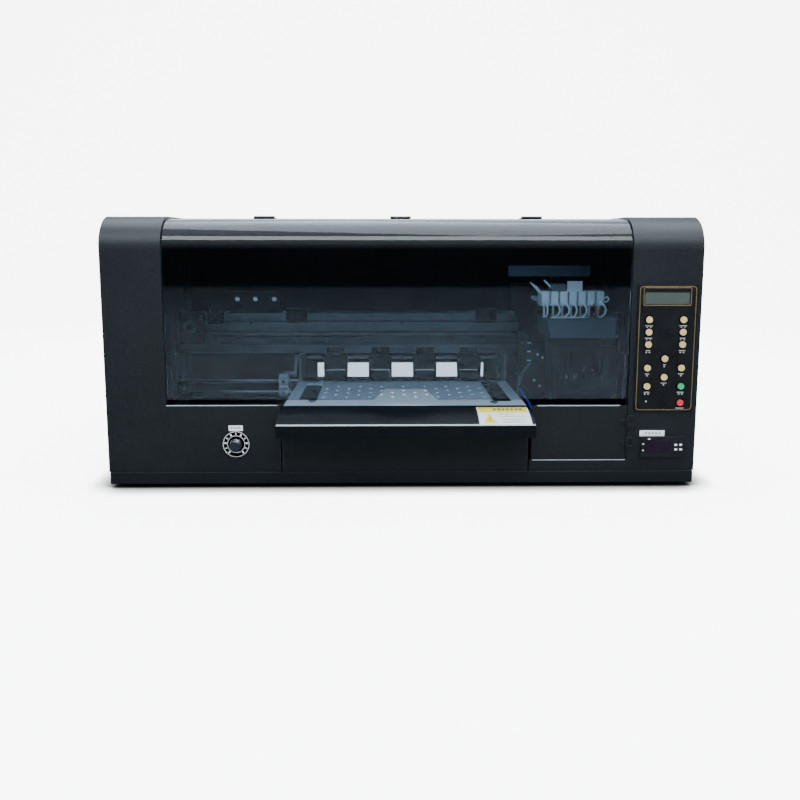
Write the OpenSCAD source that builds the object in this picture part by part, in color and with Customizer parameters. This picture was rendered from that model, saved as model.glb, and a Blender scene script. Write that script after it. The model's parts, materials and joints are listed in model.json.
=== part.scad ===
// Tabletop printer with a heated feed-out apron: black sheet-metal body, smoked hinged
// cover, perforated suction platen, pinch-roller film feed and a belt-driven print carriage.
// Frame: +X to the operator's right, +Y to the back, +Z up, origin on the floor under the
// middle of the footprint. Inside in_body(), y is measured back from the body's front face.

/* [Body] */
// Width over the two side housings
body_w = 955; // [900:5:1200]
// Depth from the front face to the rear panel
body_d = 500; // [480:5:640]
// Height of the housings above the floor
body_h = 437; // [425:1:540]
// Radius of the rounded front top edge
top_r = 52; // [40:1:70]
// Thickness of the folded sheet
sheet = 1.5; // [1.2:0.1:2]
// Width of the left column
left_col_w = 96; // [90:1:110]
// Width of the right column with the controls
right_col_w = 112; // [108:1:120]
// Height of the base tray's wall
base_h = 19; // [15:1:26]
// How far the base tray stands in front of the body
base_lip = 4; // [2:0.5:8]
// Free height of the rubber feet
foot_h = 6; // [4:0.5:15]
// Radius of the rubber feet
foot_r = 14; // [10:1:20]

/* [Cover] */
// Thickness of the smoked acrylic
cover_t = 4; // [3:0.5:5]
// How far the cover sits inside the housings' outline
cover_inset = 4; // [3:0.5:6]
// Gap at each side of the cover
cover_gap = 1.5; // [1:0.25:3]
// Gap between the sill and the cover's lower edge
cover_lift = 8; // [6:0.5:12]
// Distance of the cover's hinge axis from the front face
hinge_y = 150; // [130:5:190]
// Radius of the hinge barrels
hinge_r = 4; // [3:0.25:5]
// Width of one hinge
hinge_w = 36; // [30:1:50]
// Height of the finger notch in the lower edge
notch_h = 18; // [12:1:25]
// Width of the finger notch at its top
notch_w = 65; // [50:1:90]

/* [Platen] */
// Width of the platen plate
platen_w = 401; // [385:1:430]
// Offset of the platen's centre line from the body's
platen_x = 4; // [-6:1:6]
// Height of the platen's surface above the floor
platen_z = 129; // [122:1:140]
// Thickness of the platen plate
platen_t = 3; // [2:0.5:5]
// Distance of the platen's front edge from the front face
platen_front = 24; // [18:1:30]
// Pitch of the suction holes along a row
hole_pitch = 40; // [30:1:44]
// Pitch of the rows of suction holes
row_pitch = 20; // [16:1:22]
// Diameter of a suction hole
hole_d = 3; // [2:0.25:4]
// Width of a film guide
guide_w = 30; // [24:1:34]
// How far the heated apron stands in front of the body
apron_reach = 48; // [35:1:60]
// How far the apron's surface falls towards its lip
apron_drop = 17.5; // [12:0.5:22]
// Height of the apron's skirt
skirt_h = 20; // [14:1:24]

/* [Film feed] */
// Radius of the driven feed roller
feed_r = 9; // [8:0.5:10]
// Radius of the pinch rollers
pinch_r = 10; // [8:0.5:10]
// Length of one pinch roller
pinch_len = 36; // [30:1:44]
// Distance between neighbouring pinch rollers
pinch_pitch = 86.5; // [75:0.5:92]
// Distance of the feed roller's axis from the front face
feed_y = 265; // [262:1:280]
// Radius of the pinch lift shaft
lift_r = 4; // [3:0.25:4.5]

/* [Beam] */
// Height of the beam's section
beam_h = 78; // [74:1:90]
// Depth of the beam's section
beam_d = 50; // [40:1:60]
// Underside of the beam above the platen's surface
beam_lift = 53; // [52:1:58]
// Width of the linear rail
rail_w = 15; // [12:0.5:17]
// Height of the linear rail above the beam
rail_t = 13; // [11:0.5:15]
// Radius of the belt pulleys
pulley_r = 9.5; // [8:0.5:10]
// Width of the timing belt
belt_w = 10; // [8:0.5:10]

/* [Carriage] */
// Width of the carriage
carriage_w = 160; // [156:1:176]
// Gap between the print heads and the platen
head_gap = 2.5; // [2:0.1:4]
// Distance of the carriage's front from the body's front face
carriage_front = 130; // [124:1:134]
// Number of ink lines
ink_lines = 7; // [4:1:7]

/* [Controls] */
// Radius of a push button
button_r = 5.3; // [4.5:0.1:6]
// How far a button stands out of the panel
button_out = 2.2; // [1.5:0.1:3]
// Width of the control panel
panel_w = 97; // [95:1:102]
// Height of the control panel
panel_h = 206; // [200:1:220]
// Radius of the speed dial's plate
dial_r = 21.5; // [18:0.5:25]

/* [Hidden] */
$fn = 48;

fit = 0.05;          // radial clearance of a shaft in its bore
clear = 0.3;         // clearance between neighbouring moving surfaces
rim = 22;            // width of the base tray's top rim
tray_t = 2;          // thickness of the base tray
flange = 12;         // width of a folded flange
rib = 16;            // depth of the fold along the front opening
shelf = 10;          // width of the shelf that carries the roof panel

half_w = body_w / 2;
base_half = half_w - 3;
base_top = foot_h + base_h;
tray_floor = foot_h + tray_t;
rear_reach = sheet + 2;
front_y = (apron_reach - body_d - rear_reach) / 2;
open_l = -half_w + left_col_w;          // left edge of the front opening
open_r = half_w - right_col_w;          // right edge of the front opening
sill_z = platen_z + 6;

plat_l = platen_x - platen_w / 2;
plat_r = platen_x + platen_w / 2;
plate_t = 6;                            // thickness of the frame's side plates
side_l = plat_l;                        // outer faces of the side plates
side_r = plat_r;
left_panel_r = plat_l - 1.5;
right_strip_l = plat_r + 1.5;
platen_under = platen_z - platen_t;
platen_back = feed_y - feed_r - 4;
feed_z = platen_z - feed_r + 0.2;       // the roller stands just above the platen
journal_r = 6;
pinch_z = feed_z + feed_r + clear + pinch_r;
axle_r = 2.5;                           // pinch roller axles
lift_y = feed_y + 20;
lift_z = platen_z + 43;
lift_top = 6;                           // how far the arms' hoods rise above the shaft
arm_t = 4;                              // thickness of an arm's cheek

beam_y = feed_y + 6;                    // front face of the beam
beam_z = platen_z + beam_lift;
beam_half = half_w - 41.5;
plate_back = beam_y + beam_d + 9;
rail_z = beam_z + 25.5;                 // centre line of the rail
rail_pitch = 60;
rail_end = 25;                          // last screw to the rail's end
rail_r = belt_span() + 20;              // right end of the rail
rail_count = floor((2 * belt_span() - 8 - 2 * rail_end) / rail_pitch) + 1;
rail_l = rail_r - (rail_count - 1) * rail_pitch - 2 * rail_end;
belt_z = rail_z + 28;
belt_t = 1.6;
belt_y = beam_y - 11 - belt_w;          // front edge of the belt
belt_in = pulley_r + fit;
pin_r = 3;                              // pulley shafts
mount_t = 4;                            // thickness of the belt's brackets
motor_s = 42;                           // side of a stepper motor

carriage_x = half_w - 172.5;            // the parked carriage's centre
carriage_back = beam_y - 28;            // back face of the carriage's back plate
back_t = 8;
head_z = platen_z + head_gap;
shoe_z = head_z + 10;                   // underside of the carriage's base plate
shoe_t = 4;
hood_z = rail_z + 20.5;                 // underside of the carriage's cover
hood_h = 35;
rack_z = hood_z + 56.5;
block_l = 30;                           // length of a rail block
block_x = 45;                           // rail blocks, left and right of the carriage's centre

deck_z = platen_z - 30;
deck_t = 2;
deck_top = deck_z + deck_t;
deck_back = feed_y - motor_s / 2 - 1;
deck_front = rib + 2;

cover_top = body_h - cover_inset;
cover_bottom = sill_z + cover_lift;
cover_back = hinge_y - 2;
leaf_t = 2;
hinge_z = cover_top + hinge_r + 0.5;
hinge_xs = [open_l + 141, (open_l + open_r) / 2 + 6, open_r - 137];
hinge_pin_r = 1.5;
roof_front = hinge_y + hinge_r + 1;

panel_x = half_w - 55;                  // centre of the control panel
panel_z = body_h - 210.5;
overlay_t = 2;
ctrl_x = half_w - 52;                   // centre of the temperature controller
ctrl_z = foot_h + 59;
ctrl_w = 75;
ctrl_h = 34.5;
dial_x = open_l + 111;
dial_z = foot_h + 65;
dial_t = 1;
knob_r = 3;                             // radius of the knob's shaft

door_l = plat_r + 5;
door_r = open_r - 1;
door_lo = base_top + 19;
door_hi = sill_z - 1.5;
door_axis_x = open_r - 0.25;
door_axis_y = -2.8;
door_knuckle_r = 2.5;
door_pin_r = 1.2;
door_hinge_zs = [door_lo + 27, door_lo + 63];

slot_l = side_l + plate_t + 8;          // film passage through the rear panel
slot_r = side_r - plate_t - 8;
slot_z = platen_z - 35;
slot_h = 34;
inlet_x = half_w - 77;
inlet_z = base_top + 55;

// name, x and z from the panel's centre
BUTTONS = [
    ["button_1", -29, 47], ["button_2", -29, 27], ["button_3", -29, 7],
    ["button_4", 26, 47], ["button_5", 26, 27], ["button_6", 26, 7],
    ["button_up", -1.5, -16], ["button_left", -29, -31], ["button_right", 26, -31],
    ["button_down", -1.5, -46], ["button_menu", -28.5, -61], ["button_green", 26.5, -61],
    ["button_red", 26.5, -88]
];

function belt_span() = half_w - 75;     // distance of a belt pulley from the middle
function button(name) = BUTTONS[search([name], BUTTONS)[0]];

// ---------------------------------------------------------------- helpers

module in_body() { translate([0, front_y, 0]) children(); }

// a box between two limits on each axis
module block(x, y, z) {
    translate([x[0], y[0], z[0]]) cube([x[1] - x[0], y[1] - y[0], z[1] - z[0]]);
}

// round bars along X, Y and Z
module rod_x(r, x, y, z) {
    translate([x[0], y, z]) rotate([0, 90, 0]) cylinder(r = r, h = x[1] - x[0]);
}
module rod_y(r, x, y, z) {
    translate([x, y[1], z]) rotate([90, 0, 0]) cylinder(r = r, h = y[1] - y[0]);
}
module rod_z(r, x, y, z) {
    translate([x, y, z[0]]) cylinder(r = r, h = z[1] - z[0]);
}

// an outline drawn as [y, z], extruded along X between two limits
module along_x(x) {
    translate([x[0], 0, 0]) rotate([90, 0, 90]) linear_extrude(x[1] - x[0]) children();
}

// an outline drawn as [x, z], extruded along Y between two limits
module along_y(y) {
    translate([0, y[1], 0]) rotate([90, 0, 0]) linear_extrude(y[1] - y[0]) children();
}

// a rectangle between two limits on each axis
module area(a, b) { translate([a[0], b[0]]) square([a[1] - a[0], b[1] - b[0]]); }

// a slot with round ends, standing on its lower end
module upright_slot(w, h) {
    area([-w / 2, w / 2], [w / 2, h - w / 2]);
    translate([0, w / 2]) circle(d = w, $fn = 24);
    translate([0, h - w / 2]) circle(d = w, $fn = 24);
}

// a bar with round ends between two points of a plane
module link(a, b, r) {
    d = b - a;
    translate(a) circle(r = r);
    translate(b) circle(r = r);
    translate(a) rotate(atan2(d[1], d[0])) area([0, norm(d)], [-r, r]);
}

// ---------------------------------------------------------------- base and feet

module base_tray() {
    color("#202326") in_body() difference() {
        block([-base_half, base_half], [-base_lip, body_d], [foot_h, base_top]);
        block([-base_half + tray_t, base_half - tray_t], [tray_t - base_lip, body_d - tray_t],
              [tray_floor, base_top - tray_t]);
        block([-base_half + rim, base_half - rim], [rim, body_d - rim],
              [base_top - tray_t - 1, base_top + 1]);
        for (x = [-base_half + 75 : 20 : base_half - 75])
            translate([x, body_d / 2 - 30, foot_h - 1]) linear_extrude(tray_t + 2) upright_slot(5, 60);
    }
}

module rubber_feet() {
    color("#161616") in_body()
        for (x = [-half_w + 45, 0, half_w - 45], y = [35, body_d - 35])
            translate([x, y, 0]) cylinder(r1 = foot_r - 2, r2 = foot_r, h = foot_h);
}

// ---------------------------------------------------------------- housings

// the body's outline in [y, z], set in on the front, the rounded edge and the top
module outline(inset, back) {
    difference() {
        area([inset, back], [base_top, body_h - inset]);
        difference() {
            area([inset - 1, top_r], [body_h - top_r, body_h - inset + 1]);
            translate([top_r, body_h - top_r]) circle(r = top_r - inset, $fn = 96);
        }
    }
}

// a sheet that follows the front, the rounded edge and the top
module wrap(x, depth) {
    along_x(x) difference() {
        outline(0, body_d);
        intersection() {
            outline(depth, body_d + 1);
            area([depth, body_d + 1], [base_top - 1, body_h - depth]);
        }
    }
}

// what the two housings share: wall is the outer face, edge the opening's side, way is
// +1 from the left wall and -1 from the right one
module column(wall, edge, way) {
    xs = way > 0 ? [wall, edge] : [edge, wall];
    wall_x = way > 0 ? [wall, wall + sheet] : [wall - sheet, wall];
    fold_x = way > 0 ? [wall, wall + rib] : [wall - rib, wall];
    rib_x = way > 0 ? [edge - sheet, edge] : [edge, edge + sheet];
    shelf_x = way > 0 ? [edge - shelf, edge + shelf] : [edge - shelf, edge + shelf];
    along_x(wall_x) outline(0, body_d);
    wrap(xs, sheet);
    wrap_edge(rib_x);
    block(fold_x, [body_d - sheet, body_d], [base_top, body_h - sheet / 2]);
    block(fold_x, [sheet / 2, body_d], [base_top, base_top + sheet]);
    block(shelf_x, [roof_front, body_d - sheet], [body_h - 2 * sheet, body_h - sheet]);
}

// the fold along the front opening's upright edge and over the top, back to the hinges
module wrap_edge(x) {
    along_x(x) intersection() {
        difference() {
            outline(0, body_d);
            outline(rib, body_d + 1);
        }
        area([0, body_d], [base_top, body_h]);
    }
}

module louvres(x) {
    for (i = [0 : 11])
        translate([x, body_d - 190 + i * 12, base_top + 60])
            rotate([90, 0, 90]) linear_extrude(2 * sheet + 2, center = true) upright_slot(5, 60);
}

module left_housing() {
    color("#24282b") in_body() difference() {
        union() {
            column(-half_w, open_l, 1);
            block([open_l - sheet, left_panel_r], [0, sheet], [base_top, sill_z]);
            block([open_l - sheet, left_panel_r], [0, flange], [sill_z - sheet, sill_z]);
            block([-half_w, left_panel_r], [0, rib], [base_top, base_top + sheet]);
        }
        rod_y(knob_r + clear, dial_x, [-1, sheet + 1], dial_z);
        louvres(-half_w);
    }
}

module right_housing() {
    color("#24282b") in_body() {
        difference() {
            union() {
                column(half_w, open_r, -1);
                block([right_strip_l, open_r + sheet], [0, sheet], [base_top, door_lo - 1]);
                block([right_strip_l, open_r + sheet], [0, flange], [door_lo - 1 - sheet, door_lo - 1]);
                block([right_strip_l, half_w], [0, rib], [base_top, base_top + sheet]);
            }
            for (b = BUTTONS)
                rod_y(button_r + 0.5, panel_x + b[1], [-1, sheet + 1], panel_z + b[2]);
            block([ctrl_x - 34.5, ctrl_x + 34.5], [-1, sheet + 1], [ctrl_z - 14.5, ctrl_z + 14.5]);
            louvres(half_w);
        }
        for (z = door_hinge_zs) {
            for (s = [-1, 1])
                door_knuckle(z + s * 7, door_axis_x, door_axis_x + 9);
            rod_z(door_pin_r, door_axis_x, door_axis_y, [z - 10, z + 10]);
        }
    }
}

// one 6 mm knuckle and its leaf on the front face
module door_knuckle(z, x0, x1) {
    rod_z(door_knuckle_r, door_axis_x, door_axis_y, [z - 3, z + 3]);
    block([x0, x1], [door_axis_y, 0], [z - 3, z + 3]);
}

module service_door() {
    color("#24282b") in_body() difference() {
        union() {
            block([door_l, door_r], [0, sheet], [door_lo, door_hi]);
            for (z = [door_lo, door_hi - sheet])
                block([door_l + 8, door_r - 8], [0, flange], [z, z + sheet]);
            for (x = [door_l, door_r - sheet])
                block([x, x + sheet], [0, flange], [door_lo + 8, door_hi - 8]);
            for (z = door_hinge_zs) {
                rod_z(door_knuckle_r, door_axis_x, door_axis_y, [z - 4 + clear, z + 4 - clear]);
                block([door_r - 10, door_axis_x], [door_axis_y + 1, 0], [z - 4 + clear, z + 4 - clear]);
            }
        }
        for (z = door_hinge_zs)
            rod_z(door_pin_r + fit, door_axis_x, door_axis_y, [z - 5, z + 5]);
    }
}

module rear_panel() {
    color("#24282b") in_body() difference() {
        block([1 - half_w, half_w - 1], [body_d, body_d + sheet], [base_top + 1, body_h - 1]);
        block([slot_l, slot_r], [body_d - 1, body_d + sheet + 1], [slot_z, slot_z + slot_h]);
        block([inlet_x - 14.5, inlet_x + 14.5], [body_d - 1, body_d + sheet + 1],
              [inlet_z - 24.5, inlet_z + 24.5]);
        for (g = [-1, 1], i = [-7 : 7])
            translate([g * 300 + i * 14, body_d + sheet + 1, body_h - 150]) rotate([90, 0, 0])
                linear_extrude(sheet + 2) upright_slot(6, 70);
    }
}

module roof_panel() {
    lip_z = body_h - 16;
    color("#24282b") in_body() difference() {
        union() {
            block([open_l, open_r], [roof_front, body_d], [body_h - sheet, body_h]);
            block([open_l + shelf + 2, open_r - shelf - 2], [roof_front, roof_front + sheet],
                  [lip_z, body_h]);
            block([open_l + shelf + 2, open_r - shelf - 2], [roof_front - 18, roof_front + sheet],
                  [lip_z - sheet, lip_z]);
        }
        for (g = [-1, 1], i = [-6 : 6])
            translate([g * 190 + i * 14, body_d - 110, body_h - sheet - 1]) linear_extrude(sheet + 2)
                upright_slot(6, 70);
    }
}

module front_center_panel() {
    color("#24282b") in_body() {
        block([plat_l + 1, plat_r - 1], [0, sheet], [base_top, platen_z - 14]);
        block([plat_l + 1, plat_r - 1], [0, rib], [base_top, base_top + sheet]);
    }
}

// ---------------------------------------------------------------- inner frame

module frame_plates() {
    color("#8d9296") in_body() {
        difference() {
            for (x = [side_l, side_r - plate_t])
                along_x([x, x + plate_t]) {
                    area([rim + 1, plate_back], [tray_floor, base_top + sheet + 1]);
                    area([sheet, plate_back], [base_top + sheet, platen_under - 4]);
                    area([platen_front, plate_back], [platen_under - 5, platen_under]);
                    area([platen_back + 0.5, plate_back], [tray_floor, beam_z]);
                }
            rod_x(journal_r + fit, [side_l - 1, side_r + 1], feed_y, feed_z);
            rod_x(lift_r + fit, [side_l - 1, side_r + 1], lift_y, lift_z);
        }
        for (x = [-beam_half, beam_half - plate_t])
            block([x, x + plate_t], [carriage_back + 2, beam_y + beam_d], [tray_floor, beam_z]);
    }
}

// floor plates beside the platen, each folded down onto the base tray
module bed_deck() {
    deck_l = open_l - 14;
    deck_r = open_r + 14;
    color("#1c1f21") in_body() {
        block([deck_l, side_l], [deck_front, deck_back], [deck_z, deck_top]);
        block([deck_l, deck_l + deck_t], [rim + 1, deck_back], [tray_floor, deck_top]);
        block([side_r, deck_r], [deck_front, deck_back], [deck_z, deck_top]);
        block([deck_r - deck_t, deck_r], [rim + 1, deck_back], [tray_floor, deck_top]);
    }
}

module x_beam() {
    wall = 3;
    mid = beam_h / 2;
    color("#b9bec2") in_body() difference() {
        along_x([-beam_half, beam_half]) translate([beam_y, beam_z]) difference() {
            square([beam_d, beam_h]);
            area([wall, beam_d - wall], [wall, mid - wall]);
            area([wall, beam_d - wall], [mid, beam_h - wall]);
            area([-1, wall / 2], [beam_h - 20, beam_h - 18]);
            area([-1, wall / 2], [6, 8]);
        }
        rod_y(pin_r + 5, belt_span(), [beam_y - 1, beam_y + beam_d + 1], belt_z);
    }
}

module at_rail_screws() {
    for (i = [0 : rail_count - 1]) translate([rail_l + rail_end + i * rail_pitch, beam_y - rail_t, rail_z])
        children();
}

module linear_rail() {
    color("#cfd3d6") in_body() difference() {
        along_x([rail_l, rail_r]) translate([beam_y - rail_t, rail_z]) difference() {
            area([0, rail_t], [-rail_w / 2, rail_w / 2]);
            for (s = [-1, 1])
                area([4, 7], [s * rail_w / 2 - 1.5, s * rail_w / 2 + 1.5]);
        }
        at_rail_screws() {
            rod_y(4.2, 0, [-1, 5], 0);
            rod_y(2.3, 0, [-1, rail_t + 1], 0);
        }
    }
}

// a socket-head screw whose head stands on the plane y = 0
module cap_screw(r, h) {
    difference() {
        rod_y(r, 0, [-h, 0], 0);
        translate([0, -h + 1.5, 0]) rotate([90, 0, 0]) cylinder(r = r * 0.55, h = 3, $fn = 6);
    }
}

mount_screws = [[-18, -28], [-18, -12], [-18, 19.5], [18, -28], [18, -12], [18, 19.5]];

module machine_screws() {
    color("#5a5e62") in_body() {
        at_rail_screws() {
            translate([0, 5, 0]) cap_screw(3.8, 4);
            rod_y(2.1, 0, [5, rail_t], 0);
        }
        for (p = mount_screws)
            translate([p[0] - belt_span(), beam_y - mount_t, belt_z + p[1]]) cap_screw(3, 2.5);
        for (x = [-18, 18], z = [-6, 19.5])
            translate([belt_span() + x, beam_y - mount_t, belt_z + z]) cap_screw(3, 2.5);
        for (x = [36, 56], z = [12, 28])
            translate([x - belt_span(), beam_y - 3, belt_z + z]) cap_screw(3, 2.5);
        for (i = [-1.5 : 1.5])
            translate([platen_x + i * pinch_pitch, beam_y - 2, beam_z + 6]) cap_screw(2.5, 1.5);
    }
}

// a loop round both pulleys, grown by t
module belt_loop(t) {
    r = belt_in + t;
    for (s = [-1, 1])
        translate([s * belt_span(), belt_z]) circle(r = r);
    area([-belt_span(), belt_span()], [belt_z - r, belt_z + r]);
}

module timing_belt() {
    color("#151515") in_body() along_y([belt_y, belt_y + belt_w]) difference() {
        belt_loop(belt_t);
        belt_loop(0);
    }
}

module stepper_motors() {
    s = motor_s / 2;
    color("#3c4044") in_body() {
        difference() {
            block([belt_span() - s, belt_span() + s], [beam_y + beam_d, beam_y + beam_d + 40],
                  [belt_z - s, belt_z + s]);
            rod_y(pin_r + fit, belt_span(), [beam_y + beam_d - 1, beam_y + beam_d + 25], belt_z);
        }
        difference() {
            block([side_r, side_r + 42], [feed_y - s, feed_y + s], [feed_z - s, feed_z + s]);
            rod_x(journal_r + fit, [side_r - 1, side_r + 18], feed_y, feed_z);
        }
    }
}

module belt_brackets() {
    front = beam_y - mount_t;
    top = belt_z + belt_in + belt_t;
    color("#17191b") in_body() {
        block([-belt_span() - 25, -belt_span() + 25], [front, beam_y], [beam_z + 18, beam_z + beam_h]);
        difference() {
            block([belt_span() - 25, belt_span() + 25], [front, beam_y],
                  [rail_z + rail_w / 2 + 3, beam_z + beam_h]);
            rod_y(pin_r + 1, belt_span(), [front - 1, beam_y + 1], belt_z);
        }
        block([30 - belt_span(), 62 - belt_span()], [beam_y - 3, beam_y], [belt_z + 4, belt_z + 34]);
        block([72 - belt_span(), 174 - belt_span()], [beam_y, beam_y + 3],
              [beam_z + beam_h, beam_z + beam_h + 42]);
        block([72 - belt_span(), 174 - belt_span()], [beam_y, beam_y + 20],
              [beam_z + beam_h, beam_z + beam_h + 3]);
        rod_y(pin_r, -belt_span(), [belt_y - 4.7, front], belt_z);
        rod_y(pin_r + 2.5, -belt_span(), [belt_y - 4.7, belt_y - 2.7], belt_z);
        rod_y(pin_r + 3, -belt_span(), [belt_y + belt_w + 2.7, front], belt_z);
        for (s = [-1, 1])
            block([s * (belt_span() - 19) - 5, s * (belt_span() - 19) + 5], [belt_y + 2, front + 1],
                  [top, top + 3]);
    }
}

// chromed rods between the left post and the left side plate
module side_rods() {
    color("#e3e6e8") in_body()
        for (z = [platen_z - 21.5, platen_z + 0.5])
            rod_x(4, [plate_t - beam_half, side_l], carriage_back + 15, z);
}

// ---------------------------------------------------------------- platen and film path

module platen_plate() {
    color("#c3c8cb") in_body() difference() {
        block([plat_l, plat_r], [platen_front, platen_back], [platen_under, platen_z]);
        for (k = [0 : 5], i = [0 : 7 - k % 2])
            translate([platen_x + (i - 3.5 + (k % 2) / 2) * hole_pitch, platen_front + 73 + k * row_pitch,
                       platen_under - 1])
                cylinder(d = hole_d, h = platen_t + 2, $fn = 24);
    }
}

module vacuum_box() {
    x = [side_l + plate_t, side_r - plate_t];
    color("#8d9296") in_body() difference() {
        block(x, [60, 232], [platen_under - 38, platen_under]);
        block([x[0] + 2, x[1] - 2], [62, 230], [platen_under - 36, platen_under + 1]);
        rod_z(28, platen_x, 146, [platen_under - 39, platen_under - 35]);
    }
}

module film_guides() {
    step = 0.8;
    color("#141618") in_body() {
        for (g = [[plat_l + 20, 74], [plat_r - 20 - guide_w, 60]]) {
            block([g[0], g[0] + guide_w], [g[1], platen_back - 10], [platen_z, platen_z + step]);
            block([g[0] + 4, g[0] + guide_w - 4], [g[1] + 4, g[1] + 12], [platen_z, platen_z + 2 * step]);
        }
        along_x([side_l + plate_t, side_r - plate_t]) polygon([
            [feed_y + feed_r + 4, platen_z - 3], [feed_y + feed_r + 4, platen_z - 1],
            [plate_back, platen_z - 4], [body_d, slot_z + 2], [body_d, slot_z],
            [plate_back, platen_z - 6]
        ]);
    }
}

// the apron's section: an arc that leaves the platen level and falls by apron_drop
module apron_section(t) {
    run = platen_front + apron_reach;
    r = (run * run + apron_drop * apron_drop) / (2 * apron_drop);
    intersection() {
        translate([platen_front, platen_z - r]) circle(r = r - t, $fn = 360);
        area([t - apron_reach, platen_front], [platen_z - apron_drop - skirt_h + t, platen_z]);
    }
}

module heater_apron() {
    t = 2;
    x = [plat_l - 3.5, plat_r + 3.5];
    low = platen_z - apron_drop - skirt_h;
    color("#1b1e20") in_body() difference() {
        along_x(x) apron_section(0);
        along_x([x[0] + t, x[1] - t]) intersection() {
            apron_section(t);
            area([-apron_reach, platen_front + 1], [low + t, platen_z]);
        }
        for (e = [[x[0] - 1, plat_l], [plat_r, x[1] + 1]])
            block(e, [0, platen_front + 1], [low - 1, platen_z + 1]);
        block([x[0], x[1]], [0, platen_front + 1], [low - 1, platen_under - 6]);
    }
}

module pinch_brackets() {
    color("#101214") in_body()
        for (i = [-1.5 : 1.5])
            block([platen_x + i * pinch_pitch - 17.5, platen_x + i * pinch_pitch + 17.5],
                  [beam_y - 2, beam_y], [beam_z, beam_z + 11]);
}

module pinch_arm() {
    inner = pinch_len / 2 + clear + 0.1;
    difference() {
        union() {
            for (s = [-1, 1])
                along_x(s > 0 ? [inner, inner + arm_t] : [-inner - arm_t, -inner])
                    link([lift_y, lift_z], [feed_y, pinch_z], 7);
            along_x([-inner - arm_t, inner + arm_t]) polygon([
                [feed_y - 9, pinch_z + pinch_r + 2], [feed_y - 9, pinch_z + pinch_r + 16],
                [feed_y - 3, lift_z + lift_top], [lift_y - 2, lift_z + lift_top],
                [lift_y + 5, lift_z - 12], [lift_y - 5, pinch_z + pinch_r + 2]
            ]);
        }
        rod_x(lift_r + fit, [-inner - arm_t - 1, inner + arm_t + 1], lift_y, lift_z);
    }
    rod_x(axle_r, [-inner - arm_t, inner + arm_t], feed_y, pinch_z);
}

module pinch_arms() {
    color("#101214") in_body()
        for (i = [-1.5 : 1.5])
            translate([platen_x + i * pinch_pitch, 0, 0]) pinch_arm();
}

module pinch_rollers() {
    color("#3a3a3a") in_body()
        for (i = [-1.5 : 1.5])
            translate([platen_x + i * pinch_pitch, 0, 0]) difference() {
                rod_x(pinch_r, [-pinch_len / 2, pinch_len / 2], feed_y, pinch_z);
                rod_x(axle_r + fit, [-pinch_len, pinch_len], feed_y, pinch_z);
            }
}

// shaft through the side plates with a hand lever outside the left one
module lift_shaft() {
    grip = [feed_y - 3, platen_z + 13];
    color("#c9cdd0") in_body() {
        rod_x(lift_r, [side_l - 10, side_r + 5], lift_y, lift_z);
        along_x([side_l - 10, side_l - 5]) link([lift_y, lift_z], grip, 6);
        rod_x(5, [side_l - 30, side_l - 5], grip[0], grip[1]);
        rod_x(lift_r + 3, [side_r + 0.5, side_r + 5], lift_y, lift_z);
    }
}

module feed_roller() {
    color("#9aa0a4") in_body() {
        rod_x(feed_r, [side_l + plate_t + 0.5, side_r - plate_t - 0.5], feed_y, feed_z);
        rod_x(journal_r, [side_l - 3, side_r + 16], feed_y, feed_z);
    }
}

// ---------------------------------------------------------------- belt pulleys

module pulley(x) {
    rod_y(pulley_r, x, [belt_y - 1, belt_y + belt_w + 1], belt_z);
    for (y = [belt_y - 2.4, belt_y + belt_w + 0.4])
        rod_y(pulley_r + 3, x, [y, y + 2], belt_z);
}

module x_motor_pulley() {
    color("#aeb4b8") in_body() {
        pulley(belt_span());
        rod_y(pin_r, belt_span(), [belt_y - 2.4, beam_y + beam_d + 20], belt_z);
    }
}

module idler_pulley() {
    color("#aeb4b8") in_body() difference() {
        pulley(-belt_span());
        rod_y(pin_r + fit, -belt_span(), [belt_y - 10, belt_y + belt_w + 10], belt_z);
    }
}

// ---------------------------------------------------------------- carriage

module on_carriage() { in_body() translate([carriage_x, 0, 0]) children(); }

module rail_block() {
    front = beam_y - rail_t;
    color("#7d8388") on_carriage() for (s = [-1, 1]) difference() {
        block([s * block_x - block_l / 2, s * block_x + block_l / 2], [carriage_back, beam_y - 3],
              [rail_z - 14, rail_z + 14]);
        block([s * block_x - block_l, s * block_x + block_l], [front - fit, beam_y],
              [rail_z - rail_w / 2 - fit, rail_z + rail_w / 2 + fit]);
    }
}

head_w = 40;
head_l = 70;
head_y = carriage_front + 15;

module carriage_frame() {
    w = carriage_w / 2;
    back = [carriage_back - back_t, carriage_back];
    lower_run = belt_z - belt_in - belt_t;
    gap = 0.4;
    color("#6d7478") on_carriage() {
        difference() {
            block([-w, w], [carriage_front + 6, carriage_back], [shoe_z, shoe_z + shoe_t]);
            for (s = [-1, 1])
                block([s * 35 - head_w / 2 - clear, s * 35 + head_w / 2 + clear],
                      [head_y - clear, head_y + head_l + clear], [shoe_z - 1, shoe_z + shoe_t + 1]);
        }
        block([-w, w], back, [shoe_z, rack_z + 16]);
        for (x = [-w, w - 4])
            block([x, x + 4], [carriage_front + 6, carriage_back], [shoe_z, hood_z]);
        along_y(back) polygon([
            [20 - w, rack_z - 40], [-w, rack_z - 40], [-w - 16, rack_z - 8],
            [-w - 16, rack_z + 34], [20 - w, rack_z + 34]
        ]);
        block([-20, 20], back, [rack_z, rack_z + 48]);
        difference() {
            block([-18, 18], [carriage_back - 1, belt_y + belt_w + 3],
                  [rail_z + rail_w / 2 + 1.5, belt_z - 2]);
            block([-19, 19], [belt_y - gap, belt_y + belt_w + gap],
                  [lower_run - gap, lower_run + belt_t + gap]);
        }
    }
}

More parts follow.
